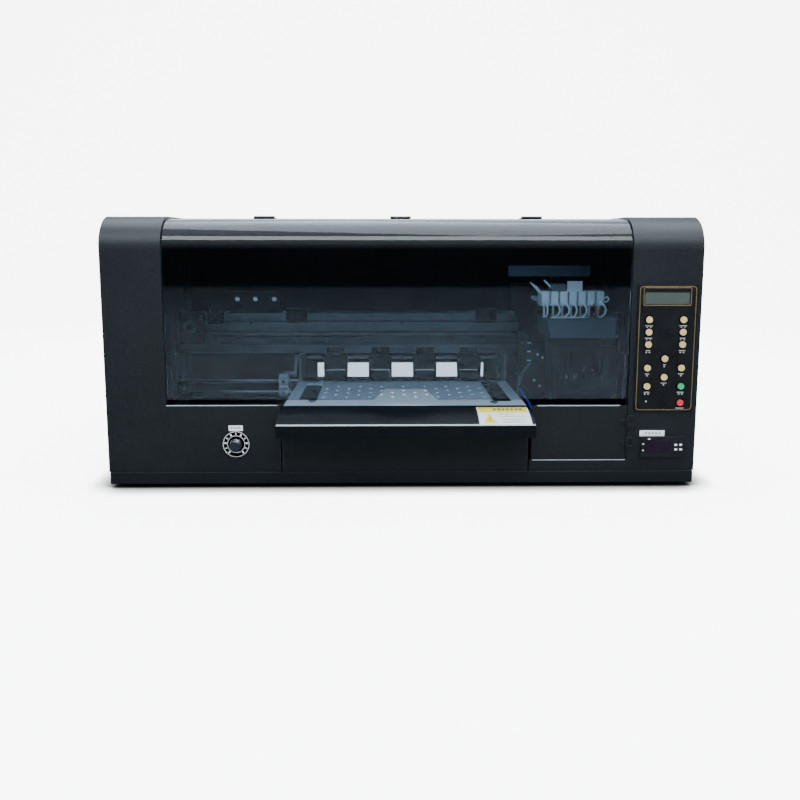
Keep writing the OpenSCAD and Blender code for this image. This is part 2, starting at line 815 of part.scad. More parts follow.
module carriage_cover() {
    front = carriage_front;
    back = carriage_back - back_t;
    color("#8593a3") on_carriage() block([-101, 52], [back, back + back_t], [rack_z + 48, rack_z + 68]);
    color("#8593a3") on_carriage() difference() {
        along_y([front, back])
            polygon([[-41, hood_z], [75, hood_z], [75, hood_z + hood_h], [-49, hood_z + hood_h]]);
        block([-39, 73], [front + 2, back - 2], [hood_z - 1, hood_z + hood_h - 2]);
    }
}

module damper_rack() {
    y0 = carriage_front + 5;
    pitch = 97 / 6;
    color("#e9eef0") on_carriage() {
        for (i = [0 : ink_lines - 1]) {
            x = 46 - i * pitch;
            block([x - 6.5, x + 6.5], [y0, y0 + 40], [rack_z, rack_z + 25.5]);
            rod_z(2, x, y0 + 12, [hood_z + hood_h, rack_z + 1]);
            rod_y(3.2, x, [y0 - 4, y0 + 1], rack_z + 5);
        }
        block([46 - (ink_lines - 1) * pitch - 7, 53], [y0 + 30, carriage_back - back_t],
              [rack_z + 5, rack_z + 12]);
    }
}

module print_heads() {
    color("#2b2e31") on_carriage() for (s = [-1, 1]) {
        block([s * 35 - head_w / 2, s * 35 + head_w / 2], [head_y, head_y + head_l], [head_z, head_z + 32]);
        block([s * 35 - head_w / 2 - 4, s * 35 + head_w / 2 + 4], [head_y - 4, head_y + head_l + 4],
              [shoe_z + shoe_t, shoe_z + shoe_t + 3]);
    }
}

// ---------------------------------------------------------------- right bay

cap_drop = 8;                           // how far the cap tray can sink
boss_z = head_z - 15.5;

module at_cap_pins() {
    for (x = [-34, 34]) translate([carriage_x + x, head_y + head_l / 2, 0]) children();
}

module cap_station() {
    x = [carriage_x - 50, carriage_x + 50];
    y = [head_y - 5, head_y + head_l + 5];
    color("#33373a") in_body() difference() {
        union() {
            difference() {
                block(x, y, [deck_top, boss_z]);
                block([x[0] + 3, x[1] - 3], [y[0] + 3, y[1] - 3], [deck_top + 3, boss_z + 1]);
            }
            at_cap_pins() cylinder(r = 8, h = boss_z);
        }
        block([x[0] - 1, x[1] + 1], [y[0] - 1, y[1] + 1], [-1, deck_top]);
        at_cap_pins() cylinder(r = 4 + fit, h = boss_z + 1);
    }
}

module cap_tray() {
    low = boss_z + cap_drop + 0.5;
    top = head_z - 0.5;
    color("#c9c4b4") in_body() {
        block([carriage_x - 44, carriage_x + 44], [head_y + 1, head_y + head_l - 1], [low, low + 3]);
        for (s = [-1, 1]) translate([carriage_x + s * 22, head_y + head_l / 2, low + 2.5]) difference() {
            block([-17, 17], [-28, 28], [0, top - low - 2.5]);
            block([-14, 14], [-25, 25], [1, 10]);
        }
        at_cap_pins() translate([0, 0, deck_top + cap_drop + 1]) cylinder(r = 4, h = low - deck_top - cap_drop);
    }
}

// a sheet folded twice, standing on the right deck: slotted front, return wall and a wing
// that reaches to the platen in front of the carriage's path
module slotted_partition() {
    x0 = open_r - 114;
    y0 = 56;
    wing_y = carriage_front - 14;
    top = deck_top + 122;
    color("#15181a") in_body() difference() {
        union() {
            block([x0, open_r - 3], [y0, y0 + 2], [deck_top, top]);
            block([x0, x0 + 2], [y0, wing_y + 2], [deck_top, top]);
            block([plat_r + 2, x0 + 2], [wing_y, wing_y + 2], [deck_top, top]);
            block([x0, open_r - 3], [y0, y0 + flange], [deck_top, deck_top + 2]);
        }
        for (i = [0 : 5])
            along_y([y0 - 1, y0 + 3]) translate([x0 + 11 + i * 14.4, deck_top + 67]) {
                upright_slot(4.5, i % 2 == 0 ? 16 : 44);
                translate([0, 26]) upright_slot(4.5, 18);
            }
    }
}

// ---------------------------------------------------------------- controls

module control_panel() {
    color("#141517") in_body() difference() {
        block([panel_x - panel_w / 2, panel_x + panel_w / 2], [-overlay_t, 0],
              [panel_z - panel_h / 2, panel_z + panel_h / 2]);
        for (b = BUTTONS)
            rod_y(button_r + fit, panel_x + b[1], [-overlay_t - 1, 1], panel_z + b[2]);
        block([panel_x - 37, panel_x + 35], [-overlay_t - 1, -overlay_t + 0.8], [panel_z + 71.5, panel_z + 96.5]);
    }
}

module push_button(name) {
    b = button(name);
    in_body() {
        rod_y(button_r, panel_x + b[1], [-overlay_t - button_out, sheet + 1], panel_z + b[2]);
        rod_y(button_r + 1.7, panel_x + b[1], [sheet, sheet + 1.5], panel_z + b[2]);
    }
}

module temp_controller() {
    color("#1b1b1e") in_body() difference() {
        union() {
            block([ctrl_x - ctrl_w / 2, ctrl_x + ctrl_w / 2], [-3, 0],
                  [ctrl_z - ctrl_h / 2, ctrl_z + ctrl_h / 2]);
            block([ctrl_x - 34, ctrl_x + 34], [-1, 60], [ctrl_z - 14, ctrl_z + 14]);
            for (x = [20, 29], z = [-6, 6])
                rod_y(3, ctrl_x + x, [-3.6, -2], ctrl_z + z);
        }
        block([ctrl_x - 31, ctrl_x + 12], [-4, -2.2], [ctrl_z - 11, ctrl_z + 11]);
    }
}

// the dial plate on the front and the control behind it
module speed_dial() {
    color("#d8d6cd") in_body() difference() {
        union() {
            rod_y(dial_r, dial_x, [-dial_t, 0], dial_z);
            rod_y(8, dial_x, [sheet, sheet + 10], dial_z);
        }
        rod_y(knob_r + fit, dial_x, [-dial_t - 1, sheet + 11], dial_z);
    }
}

module speed_knob() {
    front = -dial_t - clear;
    color("#e6e6e2") in_body() {
        rod_y(10, dial_x, [front - 5, front], dial_z);
        rod_y(8, dial_x, [front - 15, front - 4], dial_z);
        rod_y(knob_r, dial_x, [front - 5, sheet + 9], dial_z);
    }
}

// ---------------------------------------------------------------- electrics

module power_supply() {
    x = [-half_w + 60, -half_w + 240];
    y = [body_d - 140, body_d - 40];
    color("#9ba0a3") in_body() {
        difference() {
            block(x, y, [tray_floor, tray_floor + 42]);
            for (i = [0 : 9])
                block([x[0] + 22 + i * 14, x[0] + 30 + i * 14], [y[0] + 20, y[1] - 20],
                      [tray_floor + 40, tray_floor + 43]);
        }
        block([x[0] + 10, x[1] - 10], [y[0] - 12, y[0]], [tray_floor, tray_floor + 18]);
    }
}

module main_board() {
    x = [half_w - 210, half_w - 60];
    y = [body_d - 160, body_d - 50];
    z = tray_floor + 6;
    color("#1f5a3a") in_body() {
        block(x, y, [z, z + 1.6]);
        for (px = [x[0] + 6, x[1] - 6], py = [y[0] + 6, y[1] - 6])
            rod_z(3, px, py, [tray_floor, z]);
        block([x[0] + 20, x[0] + 50], [y[0] + 30, y[0] + 60], [z + 1, z + 12]);
        for (i = [0 : 4])
            block([x[0] + 70 + i * 14, x[0] + 80 + i * 14], [y[1] - 12, y[1] - 2], [z + 1, z + 12]);
    }
}

// mains inlet in the rear panel with three pins in its socket
module power_inlet() {
    color("#141414") in_body() difference() {
        union() {
            block([inlet_x - 20, inlet_x + 20], [body_d + sheet, body_d + rear_reach],
                  [inlet_z - 30, inlet_z + 30]);
            block([inlet_x - 14, inlet_x + 14], [body_d - 25, body_d + sheet + 1], [inlet_z - 24, inlet_z + 24]);
        }
        block([inlet_x - 12, inlet_x + 12], [body_d - 12, body_d + rear_reach + 1],
              [inlet_z - 20, inlet_z - 3]);
        block([inlet_x - 10, inlet_x + 10], [body_d + sheet + 0.5, body_d + rear_reach + 1],
              [inlet_z + 6, inlet_z + 20]);
    }
    color("#c9c9c9") in_body() for (p = [[-7, -13], [0, -9], [7, -13]])
        block([inlet_x + p[0] - 1, inlet_x + p[0] + 1], [body_d - 13, body_d],
              [inlet_z + p[1] - 2, inlet_z + p[1] + 2]);
}

// ---------------------------------------------------------------- cover

cover_x = [open_l + cover_gap, open_r - cover_gap];

module front_cover() {
    color("#1c2a36", 0.6) in_body() difference() {
        along_x(cover_x) intersection() {
            difference() {
                outline(cover_inset, body_d);
                outline(cover_inset + cover_t, body_d + 1);
            }
            area([0, cover_back], [cover_bottom, body_h]);
        }
        along_y([0, cover_inset + cover_t + 1]) polygon([
            [platen_x - notch_w / 2 - notch_h - 2, cover_bottom - 1],
            [platen_x - notch_w / 2, cover_bottom + notch_h],
            [platen_x + notch_w / 2, cover_bottom + notch_h],
            [platen_x + notch_w / 2 + notch_h + 2, cover_bottom - 1]
        ]);
    }
}

knuckle_w = 6;                          // half the width of a hinge's moving knuckle

module cover_hinges() {
    w = hinge_w / 2;
    color("#2b2b2b") in_body() for (x = hinge_xs) translate([x, 0, 0]) {
        for (s = [[-w, -knuckle_w - clear], [knuckle_w + clear, w]]) {
            rod_x(hinge_r, s, hinge_y, hinge_z);
            block(s, [hinge_y, roof_front + 1], [body_h, body_h + leaf_t]);
        }
        block([-w, w], [roof_front, roof_front + 22], [body_h, body_h + leaf_t]);
        rod_x(hinge_pin_r, [-w, w], hinge_y, hinge_z);
    }
}

module cover_hinge_leaves() {
    w = hinge_w / 2;
    front = hinge_y - hinge_r - 0.5;
    color("#2b2b2b") in_body() for (x = hinge_xs) translate([x, 0, 0]) difference() {
        union() {
            rod_x(hinge_r, [-knuckle_w, knuckle_w], hinge_y, hinge_z);
            block([-knuckle_w, knuckle_w], [front - 1, hinge_y], [cover_top, cover_top + leaf_t]);
            block([-w, w], [front - 22, front], [cover_top, cover_top + leaf_t]);
        }
        rod_x(hinge_pin_r + fit, [-w, w], hinge_y, hinge_z);
    }
}

// ---------------------------------------------------------------- nodes

base_tray();
rubber_feet();
left_housing();
right_housing();
rear_panel();
roof_panel();
front_center_panel();
frame_plates();
bed_deck();
x_beam();
linear_rail();
machine_screws();
timing_belt();
stepper_motors();
belt_brackets();
side_rods();
platen_plate();
vacuum_box();
film_guides();
heater_apron();
pinch_brackets();
cap_station();
slotted_partition();
control_panel();
temp_controller();
speed_dial();
power_supply();
main_board();
power_inlet();
cover_hinges();
front_cover();
cover_hinge_leaves();
service_door();
rail_block();
carriage_frame();
carriage_cover();
damper_rack();
print_heads();
feed_roller();
pinch_arms();
lift_shaft();
pinch_rollers();
x_motor_pulley();
idler_pulley();
cap_tray();
speed_knob();
color("#c9a55a") push_button("button_1");  // button_1
color("#c9a55a") push_button("button_2");  // button_2
color("#c9a55a") push_button("button_3");  // button_3
color("#c9a55a") push_button("button_4");  // button_4
color("#c9a55a") push_button("button_5");  // button_5
color("#c9a55a") push_button("button_6");  // button_6
color("#c9a55a") push_button("button_up");  // button_up
color("#c9a55a") push_button("button_left");  // button_left
color("#c9a55a") push_button("button_right");  // button_right
color("#c9a55a") push_button("button_down");  // button_down
color("#c9a55a") push_button("button_menu");  // button_menu
color("#1fa552") push_button("button_green");  // button_green
color("#c22a2a") push_button("button_red");  // button_red
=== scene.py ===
import json
import math

import bmesh
import bpy
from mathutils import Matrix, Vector
from mathutils.bvhtree import BVHTree


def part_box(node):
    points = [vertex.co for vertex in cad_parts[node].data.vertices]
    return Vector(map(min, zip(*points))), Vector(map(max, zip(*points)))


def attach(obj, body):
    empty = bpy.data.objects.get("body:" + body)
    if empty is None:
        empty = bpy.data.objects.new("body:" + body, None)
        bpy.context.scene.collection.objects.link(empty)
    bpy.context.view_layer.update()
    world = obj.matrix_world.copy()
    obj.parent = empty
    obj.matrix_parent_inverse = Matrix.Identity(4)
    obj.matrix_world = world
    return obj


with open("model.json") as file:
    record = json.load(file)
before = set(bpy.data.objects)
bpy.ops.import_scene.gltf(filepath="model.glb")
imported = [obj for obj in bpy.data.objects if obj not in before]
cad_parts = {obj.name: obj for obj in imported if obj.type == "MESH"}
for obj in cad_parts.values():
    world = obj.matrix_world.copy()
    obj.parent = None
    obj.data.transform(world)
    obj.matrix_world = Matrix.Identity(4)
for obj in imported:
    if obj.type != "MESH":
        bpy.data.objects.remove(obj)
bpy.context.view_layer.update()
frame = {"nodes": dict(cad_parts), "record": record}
MM = 0.001

# ---------------------------------------------------------------- places from the frame

BODY_OF = {node: body for body, nodes in frame["record"]["behaviour"]["bodies"].items() for node in nodes}


def box(node):
    """A node's two corners at rest."""
    lo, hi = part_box(node)
    return Vector(lo), Vector(hi)


PANEL, CTRL, DIAL = box("control_panel"), box("temp_controller"), box("speed_dial")
PLATEN, APRON, BEAM = box("platen_plate"), box("heater_apron"), box("x_beam")
RAIL, RACK, COVER = box("linear_rail"), box("damper_rack"), box("front_cover")
FRONT_Y = box("left_housing")[0].y
COVER_GAP = 1.5 * MM
OPEN_L = COVER[0].x - COVER_GAP


# ---------------------------------------------------------------- camera, lights and floor

def add_camera():
    data = bpy.data.cameras.new("camera")
    data.sensor_width = 36
    data.lens = 35.02
    data.shift_y = -0.066
    data.clip_start = 0.01
    cam = bpy.data.objects.new("camera", data)
    cam.location = (-0.0236, FRONT_Y - 1.2345, 0.3943)
    cam.rotation_euler = (math.radians(90 - 7.61), math.radians(-0.05), math.radians(-0.86))
    bpy.context.scene.collection.objects.link(cam)
    bpy.context.scene.camera = cam


def add_area(name, where, aim, size, power, tint=(1, 1, 1)):
    data = bpy.data.lights.new(name, "AREA")
    data.shape = "RECTANGLE"
    data.size, data.size_y = size
    data.energy = power
    data.color = tint
    lamp = bpy.data.objects.new(name, data)
    lamp.location = where
    lamp.rotation_euler = (Vector(aim) - Vector(where)).to_track_quat("-Z", "Y").to_euler()
    lamp.visible_camera = False
    lamp.visible_transmission = False
    bpy.context.scene.collection.objects.link(lamp)


def add_world():
    """A bright ceiling over a dim room; the backdrop that the camera sees is plain white."""
    world = bpy.data.worlds.new("studio")
    world.use_nodes = True
    nt = world.node_tree
    nt.nodes.clear()
    out = nt.nodes.new("ShaderNodeOutputWorld")
    mix = nt.nodes.new("ShaderNodeMixShader")
    path = nt.nodes.new("ShaderNodeLightPath")
    seen = nt.nodes.new("ShaderNodeBackground")
    seen.inputs["Color"].default_value = (1, 1, 1, 1)
    seen.inputs["Strength"].default_value = 7
    room = nt.nodes.new("ShaderNodeBackground")
    ramp = nt.nodes.new("ShaderNodeValToRGB")
    split = nt.nodes.new("ShaderNodeSeparateXYZ")
    where = nt.nodes.new("ShaderNodeTexCoord")
    lift = nt.nodes.new("ShaderNodeMapRange")
    lift.inputs["From Min"].default_value = -1
    nt.links.new(where.outputs["Generated"], split.inputs[0])
    nt.links.new(split.outputs["Z"], lift.inputs["Value"])
    nt.links.new(lift.outputs["Result"], ramp.inputs["Fac"])
    nt.links.new(ramp.outputs["Color"], room.inputs["Color"])
    stops = [(0.0, (0.02, 0.025, 0.03)), (0.49, (0.022, 0.03, 0.04)), (0.56, (0.045, 0.06, 0.08)),
             (0.72, (0.5, 0.56, 0.64)), (1.0, (1.0, 1.12, 1.26))]
    while len(ramp.color_ramp.elements) < len(stops):
        ramp.color_ramp.elements.new(0.5)
    for element, (at, colour) in zip(ramp.color_ramp.elements, stops):
        element.position = at
        element.color = (*colour, 1)
    room.inputs["Strength"].default_value = 1.3
    nt.links.new(path.outputs["Is Camera Ray"], mix.inputs["Fac"])
    nt.links.new(room.outputs[0], mix.inputs[1])
    nt.links.new(seen.outputs[0], mix.inputs[2])
    nt.links.new(mix.outputs[0], out.inputs["Surface"])
    bpy.context.scene.world = world


def add_floor():
    """A pale sweep: a floor that curves up into a wall far behind, with a painted contact shadow: its colour
    and camera-only glow darken close to what stands on it.
    """
    half, front, bend, top, r = 7.0, -6.0, 2.6, 5.0, 1.2
    profile = [(front, 0), (bend, 0)]
    for k in range(1, 13):
        a = math.pi / 2 * k / 12
        profile.append((bend + r * math.sin(a), r - r * math.cos(a)))
    profile.append((bend + r, top))
    verts = [(x, y, z - 0.0005) for y, z in profile for x in (-half, half)]
    faces = [(2 * i, 2 * i + 1, 2 * i + 3, 2 * i + 2) for i in range(len(profile) - 1)]
    mesh = bpy.data.meshes.new("floor")
    mesh.from_pydata(verts, [], faces)
    for p in mesh.polygons:
        p.use_smooth = True
    floor = bpy.data.objects.new("floor", mesh)
    bpy.context.scene.collection.objects.link(floor)
    m = bpy.data.materials.new("floor_white")
    m.use_nodes = True
    nt = m.node_tree
    b = nt.nodes["Principled BSDF"]
    b.inputs["Base Color"].default_value = (0.93, 0.93, 0.93, 1)
    b.inputs["Roughness"].default_value = 0.9
    b.inputs["Specular IOR Level"].default_value = 0.1
    b.inputs["Emission Color"].default_value = (1, 1, 1, 1)
    path = nt.nodes.new("ShaderNodeLightPath")
    near = nt.nodes.new("ShaderNodeAmbientOcclusion")
    near.samples = 8
    near.inputs["Distance"].default_value = 0.05
    # Occlusion raised to the sixth power paints a contact shadow: it darkens both the floor's glow and its
    # colour close to what stands on it.
    painted_shadow_fac = nt.nodes.new("ShaderNodeMath")
    painted_shadow_fac.operation = "POWER"
    painted_shadow_fac.inputs[1].default_value = 6
    nt.links.new(near.outputs["AO"], painted_shadow_fac.inputs[0])
    glow = nt.nodes.new("ShaderNodeMath")
    glow.operation = "MULTIPLY"
    nt.links.new(path.outputs["Is Camera Ray"], glow.inputs[0])
    nt.links.new(painted_shadow_fac.outputs[0], glow.inputs[1])
    level = nt.nodes.new("ShaderNodeMath")
    level.operation = "MULTIPLY"
    level.inputs[1].default_value = 6
    nt.links.new(glow.outputs[0], level.inputs[0])
    nt.links.new(level.outputs[0], b.inputs["Emission Strength"])
    # Painted contact shadow: the floor colour falls towards near black where it is occluded.
    shade = tone(nt, painted_shadow_fac.outputs[0], (0.02, 0.02, 0.02), (0.93, 0.93, 0.93), 0.0, 0.8)
    nt.links.new(shade, b.inputs["Base Color"])
    mesh.materials.append(m)
    floor.visible_glossy = False


add_camera()
add_world()
add_area("ceiling", (0.1, 0.1, 2.6), (0, 0, 0.3), (3.6, 2.4), 125, (0.84, 0.92, 1.0))
add_area("front_high", (0, -2.4, 2.4), (0, 0, 0.2), (3.4, 0.8), 66, (0.84, 0.92, 1.0))
add_area("left_side", (-2.6, -0.6, 1.4), (0, 0, 0.2), (1.4, 1.4), 20, (0.88, 0.94, 1.0))
add_area("right_side", (2.6, -0.4, 1.4), (0, 0, 0.2), (1.4, 1.4), 17, (0.88, 0.94, 1.0))
add_area("rear_glow", (0, 2.2, 0.9), (0, 0, 0.2), (2.6, 1.2), 26)


# ---------------------------------------------------------------- materials

def nodes_of(name):
    m = bpy.data.materials.new(name)
    m.use_nodes = True
    return m, m.node_tree, m.node_tree.nodes["Principled BSDF"]


def object_coords(nt, stretch=(1, 1, 1)):
    where = nt.nodes.new("ShaderNodeTexCoord")
    scale = nt.nodes.new("ShaderNodeMapping")
    scale.inputs["Scale"].default_value = stretch
    nt.links.new(where.outputs["Object"], scale.inputs["Vector"])
    return scale.outputs["Vector"]


def noise(nt, coords, scale, detail=3.0, rough=0.55):
    n = nt.nodes.new("ShaderNodeTexNoise")
    n.inputs["Scale"].default_value = scale
    n.inputs["Detail"].default_value = detail
    n.inputs["Roughness"].default_value = rough
    nt.links.new(coords, n.inputs["Vector"])
    return n.outputs["Fac"]


def tone(nt, fac, low, high, start=0.3, end=0.7):
    """A colour that goes from low to high as fac goes from start to end."""
    ramp = nt.nodes.new("ShaderNodeValToRGB")
    ramp.color_ramp.elements[0].position = start
    ramp.color_ramp.elements[1].position = end
    ramp.color_ramp.elements[0].color = (*low, 1)
    ramp.color_ramp.elements[1].color = (*high, 1)
    nt.links.new(fac, ramp.inputs["Fac"])
    return ramp.outputs["Color"]


def span(nt, fac, low, high, start=0.3, end=0.7):
    """A number that goes from low to high as fac goes from start to end."""
    m = nt.nodes.new("ShaderNodeMapRange")
    for key, value in (("From Min", start), ("From Max", end), ("To Min", low), ("To Max", high)):
        m.inputs[key].default_value = value
    nt.links.new(fac, m.inputs["Value"])
    return m.outputs["Result"]


def bumps(nt, heights, rounded=0.0):
    """Chains (height socket, strength, distance) into one normal, over rounded edges."""
    normal = None
    if rounded:
        bevel = nt.nodes.new("ShaderNodeBevel")
        bevel.samples = 4
        bevel.inputs["Radius"].default_value = rounded
        normal = bevel.outputs["Normal"]
    for height, strength, distance in heights:
        b = nt.nodes.new("ShaderNodeBump")
        b.inputs["Strength"].default_value = strength
        b.inputs["Distance"].default_value = distance
        nt.links.new(height, b.inputs["Height"])
        if normal is not None:
            nt.links.new(normal, b.inputs["Normal"])
        normal = b.outputs["Normal"]
    return normal


def shaded(colour, k):
    return tuple(c * k for c in colour)


def powder_coat(name, colour, rough=0.42, grain=950, depth=0.22 * MM, rounded=0.7 * MM, level=0.5):
    """Textured powder coat: fine hard grain in tone and relief, slow drifts of sheen."""
    m, nt, b = nodes_of(name)
    at = object_coords(nt)
    fine = noise(nt, at, grain, 2.0, 0.6)
    pebble = noise(nt, at, grain * 0.42, 2.0, 0.5)
    drift = noise(nt, at, 5.0, 3.0)
    nt.links.new(tone(nt, fine, shaded(colour, 0.7), shaded(colour, 1.5)), b.inputs["Base Color"])
    nt.links.new(span(nt, drift, rough - 0.05, rough + 0.06), b.inputs["Roughness"])
    nt.links.new(bumps(nt, [(fine, 0.55, depth), (pebble, 0.5, depth * 1.6)], rounded), b.inputs["Normal"])
    b.inputs["Specular IOR Level"].default_value = level
    return m


def moulded(name, colour, rough=0.5, grain=1600, depth=0.05 * MM, coat=0.0, vary=0.15, level=0.5):
    """Moulded plastic or rubber with a faint grain."""
    m, nt, b = nodes_of(name)
    at = object_coords(nt)
    fine = noise(nt, at, grain)
    slow = noise(nt, at, 35)
    nt.links.new(tone(nt, slow, shaded(colour, 1 - vary), shaded(colour, 1 + vary)), b.inputs["Base Color"])
    nt.links.new(span(nt, slow, rough - 0.05, rough + 0.05), b.inputs["Roughness"])
    nt.links.new(bumps(nt, [(fine, 0.4, depth)], 0.3 * MM), b.inputs["Normal"])
    b.inputs["Specular IOR Level"].default_value = level
    b.inputs["Coat Weight"].default_value = coat
    b.inputs["Coat Roughness"].default_value = 0.08
    return m


def metal(name, colour, rough=0.3, stretch=(4, 60, 60), scale=14, vary=0.12, depth=0.03 * MM, level=1.0):
    """Metal with a grain along the axis that stretch leaves short."""
    m, nt, b = nodes_of(name)
    lines = noise(nt, object_coords(nt, stretch), scale, 4.0)
    smudge = noise(nt, object_coords(nt), 22, 4.0)
    nt.links.new(tone(nt, lines, shaded(colour, 1 - vary), shaded(colour, 1 + vary)), b.inputs["Base Color"])
    nt.links.new(span(nt, smudge, rough - 0.06, rough + 0.1), b.inputs["Roughness"])
    nt.links.new(bumps(nt, [(lines, 0.35, depth)], 0.25 * MM), b.inputs["Normal"])
    b.inputs["Metallic"].default_value = level
    return m


def printed(name, colour, rough=0.45, glow=0.0, glow_colour=(1, 1, 1)):
    """Ink or film on a flat label, with a trace of unevenness."""
    m, nt, b = nodes_of(name)
    blot = noise(nt, object_coords(nt), 260)
    nt.links.new(tone(nt, blot, shaded(colour, 0.93), shaded(colour, 1.04)), b.inputs["Base Color"])
    b.inputs["Roughness"].default_value = rough
    # A glow is painted light: the surface is no lamp.
    if glow:
        b.inputs["Emission Color"].default_value = (*glow_colour, 1)
        b.inputs["Emission Strength"].default_value = glow
    return m


def smoked_acrylic():
    """Clear tinted sheet that lets lamps through, with faint wipe marks in its gloss."""
    m, nt, b = nodes_of("smoked_acrylic")
    b.inputs["Base Color"].default_value = (0.41, 0.49, 0.56, 1)
    b.inputs["Transmission Weight"].default_value = 1.0
    b.inputs["IOR"].default_value = 1.49
    wipes = noise(nt, object_coords(nt, (1, 3, 9)), 3, 4.0)
    nt.links.new(span(nt, wipes, 0.012, 0.035), b.inputs["Roughness"])
    b.inputs["Specular IOR Level"].default_value = 0.62
    path = nt.nodes.new("ShaderNodeLightPath")
    clear = nt.nodes.new("ShaderNodeBsdfTransparent")
    clear.inputs["Color"].default_value = (0.46, 0.52, 0.57, 1)
    mix = nt.nodes.new("ShaderNodeMixShader")
    out = nt.nodes["Material Output"]
    nt.links.new(path.outputs["Is Shadow Ray"], mix.inputs["Fac"])
    nt.links.new(b.outputs[0], mix.inputs[1])
    nt.links.new(clear.outputs[0], mix.inputs[2])
    nt.links.new(mix.outputs[0], out.inputs["Surface"])
    return m


def frosted(name, colour, clear=0.45, rough=0.35):
    """Milky plastic that lets some light through."""
    m, nt, b = nodes_of(name)
    cloud = noise(nt, object_coords(nt), 60)
    nt.links.new(tone(nt, cloud, shaded(colour, 0.92), shaded(colour, 1.04)), b.inputs["Base Color"])
    b.inputs["Roughness"].default_value = rough
    b.inputs["Subsurface Weight"].default_value = clear
    b.inputs["Subsurface Scale"].default_value = 0.004
    b.inputs["Coat Weight"].default_value = 0.3
    return m


POWDER = powder_coat("powder_black", (0.008, 0.0100, 0.012))
TRAY = powder_coat("tray_black", (0.006, 0.0075, 0.009), rough=0.45)
INNER = powder_coat("inner_black", (0.0012, 0.002, 0.0034), rough=0.42, grain=1300, depth=0.05 * MM,
                    level=0.06)
APRON_BLACK = powder_coat("apron_black", (0.003, 0.0045, 0.006), rough=0.3, grain=1500, depth=0.04 * MM,
                          level=0.35)
ACRYLIC = smoked_acrylic()
SILVER = metal("anodised_grey", (0.15, 0.165, 0.18), rough=0.34)
# Near white, lighter than the plate's own metal: painted light that makes the platen under the smoked cover
# read as brightly lit.
PLATEN_METAL = metal("platen_metal", (0.92, 0.96, 0.99), rough=0.4, stretch=(3, 50, 50), vary=0.03,
                     depth=0.015 * MM, level=0.1)
STEEL = metal("bare_steel", (0.34, 0.36, 0.39), rough=0.3)
RAIL_STEEL = metal("rail_steel", (0.06, 0.066, 0.072), rough=0.35, vary=0.2)
SCREW_STEEL = metal("screw_steel", (0.55, 0.56, 0.58), rough=0.22, stretch=(40, 40, 40), vary=0.15)
CHROME = metal("chromed", (0.86, 0.87, 0.88), rough=0.12, vary=0.04)
BLACK_PLASTIC = moulded("black_plastic", (0.0012, 0.002, 0.0034), rough=0.26, depth=0.02 * MM, level=0.2)
SOFT_BLACK = moulded("soft_black", (0.005, 0.006, 0.008), rough=0.5, level=0.2, grain=900, depth=0.1 * MM)
BELT = moulded("belt_rubber", (0.014, 0.014, 0.014), rough=0.65)
HOOD_GREY = powder_coat("carriage_grey", (0.09, 0.115, 0.15), rough=0.4, grain=1700, depth=0.05 * MM)
FRAME_DARK = powder_coat("carriage_dark", (0.0014, 0.0023, 0.0036), rough=0.34, grain=1400,
                         depth=0.04 * MM, level=0.12)
MILK = frosted("frosted_white", (0.88, 0.93, 0.97))
TUBE = frosted("tube_clear", (0.9, 0.94, 0.97), 0.3, 0.2)
PANEL_BLACK = moulded("panel_film", (0.008, 0.008, 0.009), rough=0.3, grain=2400, depth=0.02 * MM)
GOLD = metal("gold_print", (0.5, 0.38, 0.18), rough=0.32, stretch=(60, 60, 60), vary=0.05, level=0.8)
CAPTION = printed("caption_grey", (0.42, 0.42, 0.40))
WHITE = printed("label_white", (0.82, 0.82, 0.8))
# Near white and glowing, though no lamp: a painted highlight for sky caught in the countersinks round the
# suction holes.
RIM_HIGHLIGHT = printed("rim_painted_highlight", (0.95, 0.97, 1.0), rough=0.3, glow=0.5, glow_colour=(0.9, 0.96, 1))
YELLOW = printed("label_yellow", (0.85, 0.68, 0.03))
INK = printed("label_ink", (0.14, 0.14, 0.16))
CASE = moulded("controller_case", (0.012, 0.012, 0.014), rough=0.35, coat=0.2)
IVORY = printed("dial_face", (0.62, 0.62, 0.6), rough=0.35)
CIRCUIT = moulded("circuit_green", (0.03, 0.12, 0.07), rough=0.4, vary=0.4)
CREAM = moulded("cap_cream", (0.5, 0.47, 0.38), rough=0.55)
LCD = moulded("lcd_glass", (0.06, 0.072, 0.064), rough=0.12, grain=300, depth=0.005 * MM, vary=0.06)
WINDOW = moulded("tinted_window", (0.014, 0.008, 0.016), rough=0.08, grain=300, depth=0.004 * MM, vary=0.1)
CYAN = printed("connector_cyan", (0.25, 0.55, 0.6))
BLUE = moulded("tube_blue", (0.015, 0.05, 0.5), rough=0.3, coat=0.3)
RED = moulded("ink_red", (0.35, 0.03, 0.03), rough=0.3, coat=0.3)
CABLE = moulded("cable_grey", (0.12, 0.13, 0.14), rough=0.5)
# A light grey coat for thin strips that paint highlights on edges and bends of the black body.
EDGE_HIGHLIGHT = powder_coat("edge_highlight_paint", (0.4, 0.42, 0.45), rough=0.3, grain=1500, depth=0.03 * MM)
BUTTON = {
    "gold": moulded("button_gold", (0.60, 0.43, 0.19), rough=0.28, coat=0.35, vary=0.06),
    "green": moulded("button_green", (0.02, 0.38, 0.13), rough=0.25, coat=0.4, vary=0.06),
    "red": moulded("button_red", (0.62, 0.03, 0.04), rough=0.25, coat=0.4, vary=0.06),
}

